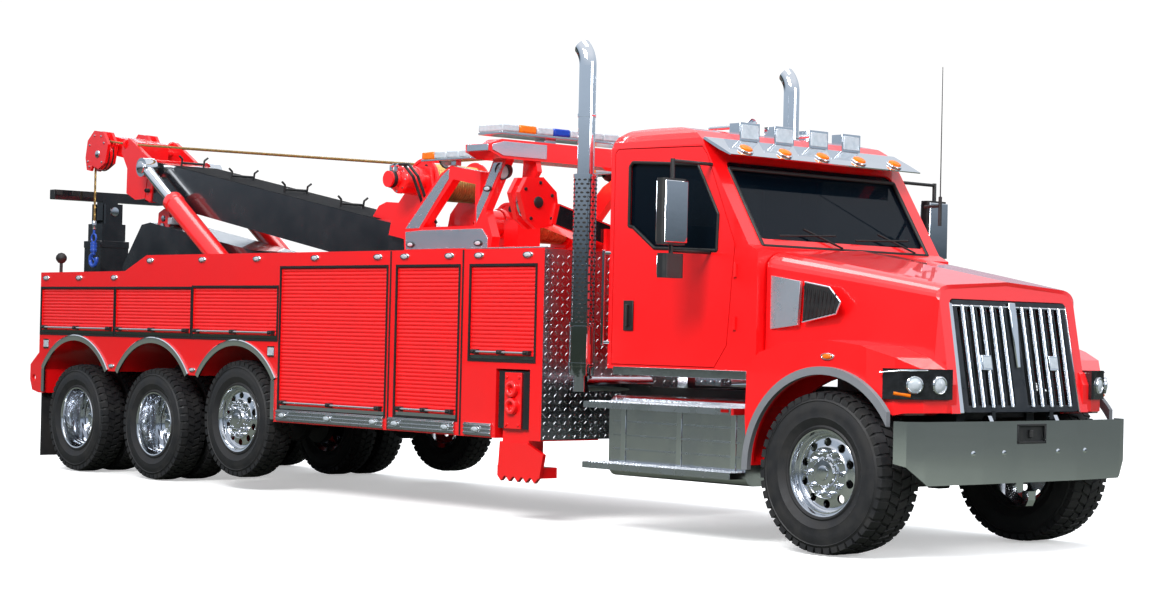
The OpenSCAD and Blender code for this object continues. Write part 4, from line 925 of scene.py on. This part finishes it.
# ---------------------------------------------------------------------------
# Fuel tanks and steps. Polished alloy tanks in straps, with serrated grip
# strips on the treads and red side reflectors.
dress(polished_alloy, "tanks_and_steps")
tread_rows, tread_pitch = (1.16, 1.2, 1.24, 1.275), 0.033
straps, treads, reflectors = bmesh.new(), bmesh.new(), bmesh.new()
for side in (-1, 1):
    for x in (-2.02, -1.45, -0.92):
        plate(straps, [(x, side * 1.132, 0.5), (x, side * 1.138, 0.5), (x, side * 1.138, 0.89),
                       (x, side * 1.132, 0.89)], (0.05, 0, 0))
    for z in (0.5, 0.94):
        for row, y in enumerate(tread_rows):
            for step in range(44):
                x = -2.22 + step * tread_pitch + (0.016 if row % 2 else 0)
                turned(treads, [(0.0115, 0.0), (0.0095, 0.006), (0.0045, 0.006), (0.004, 0.0)],
                       (x, side * y, z), (0, 0, 1), 6)
        block(treads, (-2.25, min(side * 1.292, side * 1.3), z - 0.045),
              (-0.775, max(side * 1.292, side * 1.3), z - 0.001))
    block(reflectors, (-0.86, min(side * 1.3, side * 1.304), 0.912),
          (-0.79, max(side * 1.3, side * 1.304), 0.934))
    for z in (0.6, 0.7, 0.8):
        block(treads, (-2.1, min(side * 1.13, side * 1.134), z - 0.006),
              (-0.84, max(side * 1.13, side * 1.134), z + 0.006))
fitted("tank_straps", straps, bright_chrome, "chassis", edge=0.002)
fitted("step_treads", treads, checker_alloy, "chassis")
fitted("step_reflectors", reflectors, red_lens, "chassis")


# ---------------------------------------------------------------------------
# Wire ropes. Bright drawn steel laid up in six strands, golden with rope
# grease, from the two winches over the boom head's rollers.
rope_wire = grained(finish("greased_wire_rope", "#B9975A", metallic=0.85, roughness=0.38),
                    0.0015, 0.0003, (0.28, 0.5), "#6E5A36", 0.6, 0.05)
lay_length, rope_step = 0.16, 0.02


def stranded(bm, points, radius):
    """A rope of six strands along a line of points, drawn out in short twisted steps."""
    line = [spot(*p) for p in points]
    ring = bmesh.ops.create_circle(bm, cap_ends=True, segments=12, radius=radius)["verts"]
    for index, v in enumerate(ring):
        v.co *= 1.0 if index % 2 else 0.78
    heading = (line[1] - line[0]).normalized()
    pose = Matrix.Translation(line[0]) @ heading.to_track_quat("Z", "Y").to_matrix().to_4x4()
    bmesh.ops.transform(bm, matrix=pose, verts=ring)
    edges = list({e for v in ring for e in v.link_edges})
    turn = 0.0
    for start, end in zip(line, line[1:]):
        heading = (end - start).normalized()
        steps = max(1, round((end - start).length / rope_step))
        for step in range(1, steps + 1):
            turn += 2 * math.pi * (end - start).length / steps / lay_length
            grown = bmesh.ops.extrude_edge_only(bm, edges=edges)["geom"]
            verts = [g for g in grown if isinstance(g, bmesh.types.BMVert)]
            edges = [g for g in grown if isinstance(g, bmesh.types.BMEdge)
                     and all(v in verts for v in g.verts)]
            goal = (Matrix.Translation(start + (end - start) * step / steps)
                    @ heading.to_track_quat("Z", "Y").to_matrix().to_4x4()
                    @ Matrix.Rotation(turn, 4, "Z"))
            bmesh.ops.transform(bm, matrix=goal @ pose.inverted(), verts=verts)
            pose = goal
    bmesh.ops.contextual_create(bm, geom=edges)


# Boom frame: distance along the boom from its pivot, width, height off its axis
boom_rise = math.radians(10.2)
boom_pivot = (-5.150, 0.0, 2.030)
boom_length, boom_half_width, boom_half_height = 4.780, 0.280, 0.200


def on_boom(along, y, up):
    """A place on the boom: along it from the pivot, across it, and up from its middle."""
    return (boom_pivot[0] - along * math.cos(boom_rise) + up * math.sin(boom_rise), y,
            boom_pivot[2] + along * math.sin(boom_rise) + up * math.cos(boom_rise))


head_y, drum_y = 0.262, 0.12
roller_along, roller_up = boom_length + 0.47, 0.302
sheave_along, sheave_up = boom_length + 0.96, 0.130
rope_radius = 0.012
for side in (-1, 1):
    y = side * head_y
    rope = bmesh.new()
    stranded(rope, [on_boom(0.43, side * drum_y, 0.765), on_boom(roller_along, y, roller_up)],
             rope_radius)
    wound = fitted(f"winch_rope_{'right' if side < 0 else 'left'}", rope, rope_wire, None)
    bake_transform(wound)
    over = bmesh.new()
    sheave = on_boom(sheave_along, y, sheave_up)
    arc = [(sheave[0] - 0.139 * math.sin(a), y, sheave[2] + 0.150 * math.cos(a))
           for a in [math.radians(d) for d in range(-20, 91, 10)]]
    stranded(over, [on_boom(roller_along, y, roller_up)] + arc, rope_radius)
    fitted(f"head_rope_{'right' if side < 0 else 'left'}", over, rope_wire, "boom_tip")

# The right rope hangs to its hook: ferrule, thimble and blue swivel
hook_low, hook_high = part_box("hook")
rope_x = (hook_low.x + hook_high.x) / 2 - axle_x
hanging = bmesh.new()
sheave = on_boom(sheave_along, -head_y, sheave_up)
stranded(hanging, [(rope_x, -head_y, sheave[2] - 0.01), (rope_x, -head_y, hook_high.z - 0.01)],
         rope_radius)
fitted("hanging_rope", hanging, rope_wire, "hook_line")
keeper, ferrule = bmesh.new(), bmesh.new()
rod(keeper, (rope_x - 0.06, -head_y, 2.135), (rope_x + 0.028, -head_y, 2.075), 0.006, 8)
for z in (2.19, 2.225, 2.255):
    turned(keeper, [(0.034, -0.006), (0.038, 0.0), (0.034, 0.006)], (rope_x, -head_y, z), (0, 0, 1), 24)
turned(ferrule, [(0.0185, 0.0), (0.021, 0.006), (0.021, 0.084), (0.0185, 0.09)],
       (rope_x, -head_y, hook_high.z - 0.09), (0, 0, 1), 20)
fitted("hook_keeper", keeper, hook_enamel, "hook_line")
fitted("rope_ferrule", ferrule, polished_alloy, "hook_line")

# Rope wound on the drums, in two full layers
# Rows of rope across a drum
turns = 20
coils = {"winch_upper": (on_boom(0.40, 0, 0.620), 0.265, "boom"),
         "winch_lower": ((-4.30, 0.0, 2.320), 0.275, "chassis")}
for node, (middle, half, body) in coils.items():
    drum_rope = bmesh.new()
    radius = 0.160 if node == "winch_upper" else 0.145
    profile = [(0.12, -half)]
    for step in range(turns):
        y = -half + (step + 0.5) * 2 * half / turns
        profile += [(radius - 0.010, y - half / turns * 0.98), (radius - 0.002, y - half / turns * 0.5),
                    (radius, y), (radius - 0.002, y + half / turns * 0.5)]
    profile += [(radius - 0.010, half), (0.12, half), (0.12, -half)]
    turned(drum_rope, profile, middle, (0, 1, 0), 48)
    fitted(f"drum_rope_{node}", drum_rope, rope_wire, body)


# ---------------------------------------------------------------------------
# Winch dressing. Pocketed flanges, planetary end covers with bolt rings, and
# the hydraulic motors with chromed elbows and two black hoses.
# Dark castings; the same finish gives the winch flanges' pockets their painted shade.
cast_dark_and_painted_shade = grained(finish("dark_casting_and_painted_shade", "#131315", roughness=0.55), 0.003, 0.0003,
                    (0.4, 0.7), "#2B2925", 0.4, 0.1)
pocket_circle, cover_circle = 0.128, 0.1
for node, middle, body, radius, faces, gear in (
        ("upper", on_boom(0.40, 0, 0.620), "boom", 0.195, (-0.290, 0.290), -0.56),
        ("lower", (-4.30, 0.0, 2.320), "chassis", 0.175, (-0.300, 0.300), -0.56)):
    red, dark, bright = bmesh.new(), bmesh.new(), bmesh.new()
    x, _, z = middle
    for y in faces:
        out = 1 if y > 0 else -1
        turned(red, [(radius - 0.022, 0.0), (radius - 0.018, 0.01), (radius + 0.004, 0.01),
                     (radius + 0.006, -0.012), (radius - 0.01, -0.012)], (x, y, z), (0, out, 0), 48)
        # The pockets are dark discs on the flange face, not recesses: painted shade.
        for step in range(6):
            angle = math.radians(60 * step + 15)
            look = (math.cos(angle), math.sin(angle))
            rod(dark, (x + look[0] * pocket_circle, y, z + look[1] * pocket_circle),
                (x + look[0] * pocket_circle, y + out * 0.0015, z + look[1] * pocket_circle), 0.026, 16)
    end = (x, gear, z)
    turned(red, [(0.118, 0.19), (0.124, 0.186), (0.124, 0.15), (0.118, 0.146)], end,
           (0, 1, 0), 36)
    turned(red, [(0.112, 0.0), (0.118, 0.006), (0.118, 0.03), (0.112, 0.036)], end, (0, 1, 0), 36)
    turned(red, [(0.116, 0.02), (0.112, -0.004), (0.09, -0.02), (0.0, -0.024)], end, (0, 1, 0), 36)
    for step in range(8):
        angle = math.radians(45 * step)
        rod(bright, (x + cover_circle * math.cos(angle), gear + 0.002, z + cover_circle * math.sin(angle)),
            (x + cover_circle * math.cos(angle), gear - 0.02, z + cover_circle * math.sin(angle)), 0.009, 6)
    if node == "upper":
        turned(dark, [(0.071, 0.0), (0.075, 0.01), (0.075, 0.03), (0.071, 0.04)],
               (x, -0.66, z), (0, 1, 0), 28)
        for dx in (-0.03, 0.035):
            rod(bright, (x + dx, -0.62, z + 0.065), (x + dx, -0.62, z + 0.12), 0.016, 10)
            rod(bright, (x + dx, -0.62, z + 0.112), (x + dx + 0.045, -0.62, z + 0.125), 0.015, 10)
            hose = [(x + dx + 0.045, -0.62, z + 0.125), (x + dx + 0.16, -0.61, z + 0.12),
                    (x + dx + 0.25, -0.58, z + 0.02), (x + dx + 0.27, -0.52, z - 0.14),
                    (x + dx + 0.25, -0.44, z - 0.28), (x + dx + 0.2, -0.33, z - 0.36)]
            for start, stop in zip(hose, hose[1:]):
                rod(dark, start, stop, 0.013, 10)
                turned(dark, [(0.0, -0.013), (0.013, 0.0), (0.0, 0.013)], stop, (0, 0, 1), 10)
    fitted(f"winch_covers_{node}", red, clear_coat_red, body)
    fitted(f"winch_pockets_{node}", dark, cast_dark_and_painted_shade, body)
    fitted(f"winch_bolts_{node}", bright, bright_chrome, body)


# ---------------------------------------------------------------------------
# Boom dressing. Wire cradles along the top, and a red wear collar with its
# spring-loaded pins at the mouth.
cradles, collar, springs = bmesh.new(), bmesh.new(), bmesh.new()
for along in (1.75, 2.65, 3.55, 4.45):
    for y in (-0.13, 0.13):
        rod(cradles, on_boom(along, y, boom_half_height), on_boom(along, y, 0.27), 0.01, 10)
        rod(cradles, on_boom(along, y, 0.27), on_boom(along, y * 1.3, 0.3), 0.01, 10)
    rod(cradles, on_boom(along, -0.13, 0.232), on_boom(along, 0.13, 0.232), 0.011, 10)
fitted("rope_cradles", cradles, satin_steel, "boom")
for y0, y1, u0, u1 in ((-0.293, -0.279, -0.213, 0.213), (0.279, 0.293, -0.213, 0.213),
                       (-0.293, 0.293, 0.199, 0.213), (-0.293, 0.293, -0.213, -0.199)):
    plate(collar, [on_boom(boom_length - 0.1, y0, u0), on_boom(boom_length - 0.1, y1, u0),
                   on_boom(boom_length - 0.1, y1, u1), on_boom(boom_length - 0.1, y0, u1)],
          spot(*on_boom(0.1, 0, 0)) - spot(*on_boom(0, 0, 0)))
for along in (0.55, 0.62):
    for side in (-1, 1):
        rod(collar, on_boom(along, side * 0.281, -0.05), on_boom(along, side * 0.295, -0.05), 0.02, 6)
fitted("boom_collar", collar, clear_coat_red, "boom", edge=0.003)
for side in (-1, 1):
    for up in (-0.1, 0.1):
        for ring in range(6):
            turned(springs, [(0.016, -0.004), (0.022, 0.0), (0.016, 0.004), (0.012, 0.0),
                             (0.016, -0.004)],
                   on_boom(boom_length - 0.05, side * (0.296 + ring * 0.0075), up), (0, side, 0), 14)
        rod(springs, on_boom(boom_length - 0.05, side * 0.29, up),
            on_boom(boom_length - 0.05, side * 0.348, up), 0.008, 10)
fitted("collar_spring_pins", springs, cast_dark_and_painted_shade, "boom")


# ---------------------------------------------------------------------------
# Boom top. A strip of matt black sheet between the cradles: painted shade that
# keeps the sky's reflection out of the boom's gloss.
boom_top_shade_finish = grained(finish("boom_top_painted_shade", "#1A1B1D", roughness=0.95, Specular_IOR_Level=0.05),
                    0.003, 0.0004, (0.85, 0.98), "#232426", 0.5, 0.1)
shade_sheet = bmesh.new()
sheet_ends, sheet_half, sheet_thick = (1.02, boom_length - 0.35), boom_half_width - 0.006, 0.003
plate(shade_sheet, [on_boom(sheet_ends[0], -sheet_half, boom_half_height),
            on_boom(sheet_ends[1], -sheet_half, boom_half_height),
            on_boom(sheet_ends[1], sheet_half, boom_half_height),
            on_boom(sheet_ends[0], sheet_half, boom_half_height)], (0, 0, sheet_thick))
fitted("boom_top_shade_sheet", shade_sheet, boom_top_shade_finish, "boom")


# ---------------------------------------------------------------------------
# Boom head. Red fairlead rings before the two roller tubes, chrome sheave
# pins with bolted keepers, and grooved black sheaves between the cheeks.
rings, head_bolts, sheaves = bmesh.new(), bmesh.new(), bmesh.new()
for side in (-1, 1):
    y = side * head_y
    middle = on_boom(sheave_along, y, sheave_up)
    along = (math.cos(boom_rise), 0, -math.sin(boom_rise))
    turned(rings, [(0.036, -0.014), (0.05, -0.016), (0.06, 0.0), (0.05, 0.016), (0.036, 0.014),
                   (0.032, 0.0), (0.036, -0.014)], on_boom(boom_length + 0.5, y, 0.302), along, 28)
    turned(sheaves, [(0.166, -0.028), (0.172, -0.026), (0.172, -0.02), (0.15, -0.009),
                     (0.145, 0.0), (0.15, 0.009), (0.172, 0.02), (0.172, 0.026), (0.166, 0.028)],
           middle, (0, 1, 0), 48)
    for face in (-1, 1):
        at = (middle[0], y + face * 0.063, middle[2])
        turned(head_bolts, [(0.04, 0.0), (0.036, 0.01), (0.02, 0.013), (0.0, 0.014)], at,
               (0, face, 0), 20)
        for a, u in ((0.86, 0.26), (0.93, 0.32), (1.06, 0.31), (1.13, 0.2), (1.13, 0.03),
                     (1.09, -0.02), (0.86, 0.06)):
            at = on_boom(boom_length + a, y + face * 0.0625, u)
            turned(head_bolts, [(0.013, 0.0), (0.012, 0.007), (0.0, 0.009)], at, (0, face, 0), 8)
fitted("fairlead_rings", rings, clear_coat_red, "boom_tip")
fitted("head_bolts", head_bolts, polished_alloy, "boom_tip")
fitted("head_sheaves", sheaves, cast_dark_and_painted_shade, "boom_tip")


# ---------------------------------------------------------------------------
# Lift cylinders. Machined gland collars at the barrels' mouths and bolted pin
# caps at both ends.
dress(bright_chrome, "lift_rods")
lift_foot, lift_rise = (-7.350, 1.380), math.radians(34.086)
glands, eye_caps = bmesh.new(), bmesh.new()
lift_line = (-math.cos(lift_rise), 0, math.sin(lift_rise))
barrel_length, lift_y = 2.260, 0.400
for side in (-1, 1):
    mouth = (lift_foot[0] + lift_line[0] * barrel_length, side * lift_y,
             lift_foot[1] + lift_line[2] * barrel_length)
    turned(glands, [(0.0555, 0.012), (0.075, 0.012), (0.1, 0.004), (0.105, -0.004), (0.105, -0.07),
                    (0.099, -0.078)], mouth, lift_line, 36)
    turned(glands, [(0.099, -1.2), (0.103, -1.198), (0.103, -1.18), (0.099, -1.178)], mouth,
           lift_line, 36)
    eye = (lift_foot[0] + lift_line[0] * 2.8729, side * 0.452, lift_foot[1] + lift_line[2] * 2.8729)
    turned(eye_caps, [(0.062, 0.0), (0.06, 0.012), (0.05, 0.018), (0.0, 0.02)], eye,
           (0, side, 0), 28)
fitted("barrel_glands", glands, clear_coat_red, "lift_barrels")
fitted("rod_eye_caps", eye_caps, polished_alloy, "lift_rods")


# ---------------------------------------------------------------------------
# Pylon. Mirror-polished stainless cladding riveted over the red legs, oval
# lamps in its corners, and round work lamps at the top.
mirror_steel = grained(finish("mirror_stainless", "#DCE4EE", metallic=0.9, roughness=0.24),
                       0.3, 0.0002, (0.18, 0.3), "#BBC6D2", 0.4, 0.4)
panel_y, light_y, rivet_pitch = 0.9405, 0.90, 0.11
beam_back, beam_front, beam_end = -3.782, -3.478, 1.201
cladding, rivets, pylon_lights, pylon_lenses = (bmesh.new() for _ in range(4))
for side in (-1, 1):
    y = side * panel_y
    panels = [
        [(-4.83, 2.09), (-3.79, 2.09), (-3.79, 2.17), (-3.86, 2.245), (-4.62, 2.245),
         (-4.84, 2.235)],
        [(-4.84, 2.262), (-4.66, 2.262), (-4.29, 2.655), (-4.29, 2.735), (-4.39, 2.675)],
        [(-3.935, 2.29), (-3.86, 2.4), (-3.625, 2.765), (-3.735, 2.765), (-3.88, 2.51),
         (-3.935, 2.42)]]
    for panel in panels:
        plate(cladding, [(x, y, z) for x, z in panel], (0, side * 0.006, 0))
        for (x0, z0), (x1, z1) in zip(panel, panel[1:] + panel[:1]):
            count = max(1, round(math.hypot(x1 - x0, z1 - z0) / rivet_pitch))
            cx = sum(p[0] for p in panel) / len(panel)
            cz = sum(p[1] for p in panel) / len(panel)
            for step in range(count):
                x = x0 + (x1 - x0) * (step + 0.5) / count
                z = z0 + (z1 - z0) * (step + 0.5) / count
                pull = 0.012 / max(0.05, math.hypot(cx - x, cz - z))
                turned(rivets, [(0.006, 0.0), (0.005, 0.003), (0.0, 0.004)],
                       (x + (cx - x) * pull, y + side * 0.006, z + (cz - z) * pull),
                       (0, side, 0), 8)
    for x, z in ((-3.9, 2.13), (-4.76, 2.13), (-3.80, 2.56)):
        oval_lamp(pylon_lights, pylon_lenses, x, y + side * 0.006, z, side, 0.05, 0.024)
    for x, z in ((-4.36, 2.815), (-3.66, 2.70)):
        turned(pylon_lights, [(0.05, -0.05), (0.066, -0.02), (0.07, 0.03), (0.06, 0.034)],
               (x, side * light_y, z), (0.3, side, -0.25), 28)
        turned(pylon_lenses, [(0.061, 0.026), (0.04, 0.036), (0.0, 0.038)],
               (x, side * light_y, z), (0.3, side, -0.25), 28)
    for x0, face in ((beam_back, -1), (beam_front, 1)):
        plate(cladding, [(x0, side * 0.62, 2.80), (x0, side * 1.07, 2.80), (x0, side * 1.185, 2.84),
                         (x0, side * 1.185, 2.88), (x0, side * 1.07, 2.912), (x0, side * 0.62, 2.912)],
              (face * 0.006, 0, 0))
    plate(cladding, [(-3.76, side * beam_end, 2.835), (-3.50, side * beam_end, 2.835),
                     (-3.50, side * beam_end, 2.885), (-3.76, side * beam_end, 2.885)],
          (0, side * 0.006, 0))
fitted("pylon_cladding", cladding, mirror_steel, "chassis", edge=0.002)
fitted("pylon_rivets", rivets, polished_alloy, "chassis")
fitted("pylon_lamp_bodies", pylon_lights, satin_steel, "chassis")
fitted("pylon_lamp_lenses", pylon_lenses, clear_lens, "chassis")


# ---------------------------------------------------------------------------
# Light bars. Extruded alloy bases under rows of clear, amber and blue domes,
# one across the beam and one along each leg.
blue_lens = grained(finish("blue_lens", "#1C48C8", roughness=0.08, Transmission_Weight=0.3),
                    0.01, 0.0004, (0.05, 0.15), "#0F2C86", 0.5, 0.03)
dome_pitch, side_pitch, dome_gap = 0.18, 0.159, 0.004
bar_base, clear_domes, amber_domes, blue_domes = (bmesh.new() for _ in range(4))
block(bar_base, (-3.775, -1.08, 2.971), (-3.485, 1.08, 2.992))
for y in (-0.5, 0.5):
    block(bar_base, (-3.69, y - 0.06, 2.931), (-3.57, y + 0.06, 2.972))
for step in range(12):
    y0 = -1.078 + step * dome_pitch
    kind = (clear_domes, amber_domes, clear_domes, blue_domes, clear_domes, clear_domes)[
        step % 6 if step < 6 else (11 - step) % 6]
    block(kind, (-3.778, y0, 2.992), (-3.482, y0 + dome_pitch - dome_gap, 3.053))
    for x in (-3.70, -3.56):
        block(bar_base, (x - 0.03, y0 + 0.03, 2.99), (x + 0.03, y0 + 0.146, 3.03))
for side in (-1, 1):
    low, high = sorted((side * 0.80, side * 0.99))
    block(bar_base, (-4.598, low, 2.801), (-3.962, high, 2.818))
    low_foot, high_foot = sorted((side * 0.87, side * 0.93))
    block(bar_base, (-4.285, low_foot, 2.761), (-4.225, high_foot, 2.802))
    for step in range(4):
        x0 = -4.597 + step * side_pitch
        block(clear_domes if step else amber_domes, (x0, low + 0.002, 2.818),
              (x0 + side_pitch - 0.003, high - 0.002, 2.879))
fitted("light_bar_bases", bar_base, polished_alloy, "chassis", edge=0.004,
       stands_for=("light_bars",))
fitted("clear_domes", clear_domes, clear_lens, "chassis", edge=0.012)
fitted("amber_domes", amber_domes, amber_lens, "chassis", edge=0.012)
fitted("blue_domes", blue_domes, blue_lens, "chassis", edge=0.012)


# ---------------------------------------------------------------------------
# Side puller. A pale grooved sheave rim between the red cheeks, its bolts, and
# black skin plates along its arm.
puller_x, puller_y, puller_z = -3.100, -0.330, 2.190
puller_tilt = math.radians(-14)


def on_puller(dx, along, up):
    """A place on the side puller: along its arm from the pivot, and up from its middle."""
    return (puller_x + dx, puller_y + along * math.cos(puller_tilt) - up * math.sin(puller_tilt),
            puller_z + along * math.sin(puller_tilt) + up * math.cos(puller_tilt))


sheave_middle = (-0.8, 0.04)
rim, puller_bolts, arm_skin = bmesh.new(), bmesh.new(), bmesh.new()
turned(rim, [(0.131, -0.024), (0.142, -0.026), (0.142, -0.018), (0.126, -0.006), (0.126, 0.006),
             (0.142, 0.018), (0.142, 0.026), (0.131, 0.024)], on_puller(0, *sheave_middle), (1, 0, 0), 40)
for dx, face in ((-0.0755, -1), (0.0755, 1)):
    turned(puller_bolts, [(0.045, 0.0), (0.042, 0.01), (0.03, 0.014), (0.0, 0.016)],
           on_puller(dx, *sheave_middle), (face, 0, 0), 24)
    for along, up in ((-0.95, 0.1), (-0.82, 0.19), (-0.68, 0.13), (-0.64, -0.04), (-0.84, -0.1)):
        turned(puller_bolts, [(0.014, 0.0), (0.013, 0.008), (0.0, 0.01)],
               on_puller(dx, along, up), (face, 0, 0), 8)
fitted("puller_sheave_rim", rim, polished_alloy, "side_puller")
fitted("puller_bolts", puller_bolts, cast_dark_and_painted_shade, "side_puller")
for dx in (-0.0955, 0.0955):
    face = 1 if dx > 0 else -1
    plate(arm_skin, [on_puller(dx, -0.6, -0.075), on_puller(dx, 0.03, -0.075),
                     on_puller(dx, 0.03, 0.075), on_puller(dx, -0.6, 0.075)], (face * 0.003, 0, 0))
plate(arm_skin, [on_puller(-0.09, -0.6, 0.086), on_puller(0.09, -0.6, 0.086),
                 on_puller(0.09, 0.03, 0.086), on_puller(-0.09, 0.03, 0.086)], (0, 0, 0.003))
fitted("puller_arm_plates", arm_skin, gloss_black, "side_puller")


# ---------------------------------------------------------------------------
# Rear mast and underlift. Bolted pivot caps, a red sheave head with its ring,
# a white work lamp, wear collars on the nested tubes and a ribbed crossbar.
def hoop(bm, centre, axis, radius, thick, steps=32, sides=10, arc=360.0, start=0.0):
    """A ring, or part of one, of round bar."""
    centre, axis = spot(*centre), Vector(axis).normalized()
    out = Matrix.Rotation(math.radians(start), 3, axis) @ axis.orthogonal().normalized()
    disc = bmesh.ops.create_circle(
        bm, cap_ends=arc != 360.0, segments=sides, radius=thick,
        matrix=Matrix.Translation(centre + out * radius)
        @ axis.cross(out).to_track_quat("Z", "Y").to_matrix().to_4x4())
    geom = disc["verts"] + list({e for v in disc["verts"] for e in v.link_edges})
    bmesh.ops.spin(bm, geom=geom, cent=centre, axis=axis, angle=math.radians(arc),
                   steps=steps, use_merge=arc == 360.0)


tower_x, fold_z, mast_head = -11.1, 0.65, (-9.86, 2.5)
mast_red, caps, collars, mast_lamp = (bmesh.new() for _ in range(4))
for side in (-1, 1):
    turned(caps, [(0.105, 0.0), (0.1, 0.014), (0.06, 0.02), (0.0, 0.022)],
           (tower_x, side * 0.226, fold_z), (0, side, 0), 36)
    turned(caps, [(0.1, 0.0), (0.096, 0.012), (0.05, 0.02), (0.0, 0.022)],
           (-9.0, side * 0.286, 1.95), (0, side, 0), 36)
    plate(mast_red, [(-9.97, side * 0.075, 2.44), (-9.75, side * 0.075, 2.44),
                     (-9.76, side * 0.075, 2.56), (-9.86, side * 0.075, 2.60),
                     (-9.96, side * 0.075, 2.56)], (0, side * 0.016, 0))
    turned(caps, [(0.034, 0.0), (0.03, 0.012), (0.0, 0.014)], (mast_head[0], side * 0.091, mast_head[1]),
           (0, side, 0), 20)
hoop(mast_red, (-9.73, 0.0, 2.54), (1, 0, 0), 0.045, 0.012)
turned(caps, [(0.071, -0.05), (0.078, -0.046), (0.07, -0.012), (0.066, 0.0), (0.07, 0.012),
              (0.078, 0.046), (0.071, 0.05)], (mast_head[0], 0.0, mast_head[1]), (0, 1, 0), 36)
block(mast_lamp, (-9.62, -0.2, 2.43), (-9.55, -0.06, 2.5))
fitted("mast_sheave_head", mast_red, clear_coat_red, "chassis", edge=0.003)
fitted("pivot_caps", caps, polished_alloy, "chassis")
fitted("mast_work_lamp", mast_lamp, clear_lens, "chassis", edge=0.01)
thick = 0.008
for z, half, high in ((2.255, 0.166, 0.035), (1.2, 0.166, 0.02), (1.7, 0.166, 0.02)):
    for dx, dy in ((0, 1), (0, -1), (1, 0), (-1, 0)):
        x, y = tower_x + dx * half, dy * half
        block(collars, (x - (thick if dx else half), y - (thick if dy else half), z - high),
              (x + (thick if dx else half), y + (thick if dy else half), z + high))
fitted("underlift_collars", collars, gloss_black, "underlift_arm", edge=0.003)
saddles = bmesh.new()
for y in (-0.6, -0.42, 0.42, 0.6):
    block(saddles, (tower_x - 0.058, y - 0.035, 2.746), (tower_x + 0.058, y + 0.035, 2.8))
for y in (-0.651, 0.651):
    block(saddles, (tower_x - 0.05, y - 0.004, 2.704), (tower_x + 0.05, y + 0.004, 2.796))
fitted("crossbar_saddles", saddles, satin_steel, "crossbar", edge=0.003)
stinger_caps = bmesh.new()
for x, face in ((tower_x - 0.1425, -1), (tower_x + 0.1425, 1)):
    turned(stinger_caps, [(0.05, 0.0), (0.046, 0.012), (0.0, 0.016)], (x, 0.0, 2.6), (face, 0, 0), 24)
fitted("crossbar_pin_caps", stinger_caps, polished_alloy, "stinger")
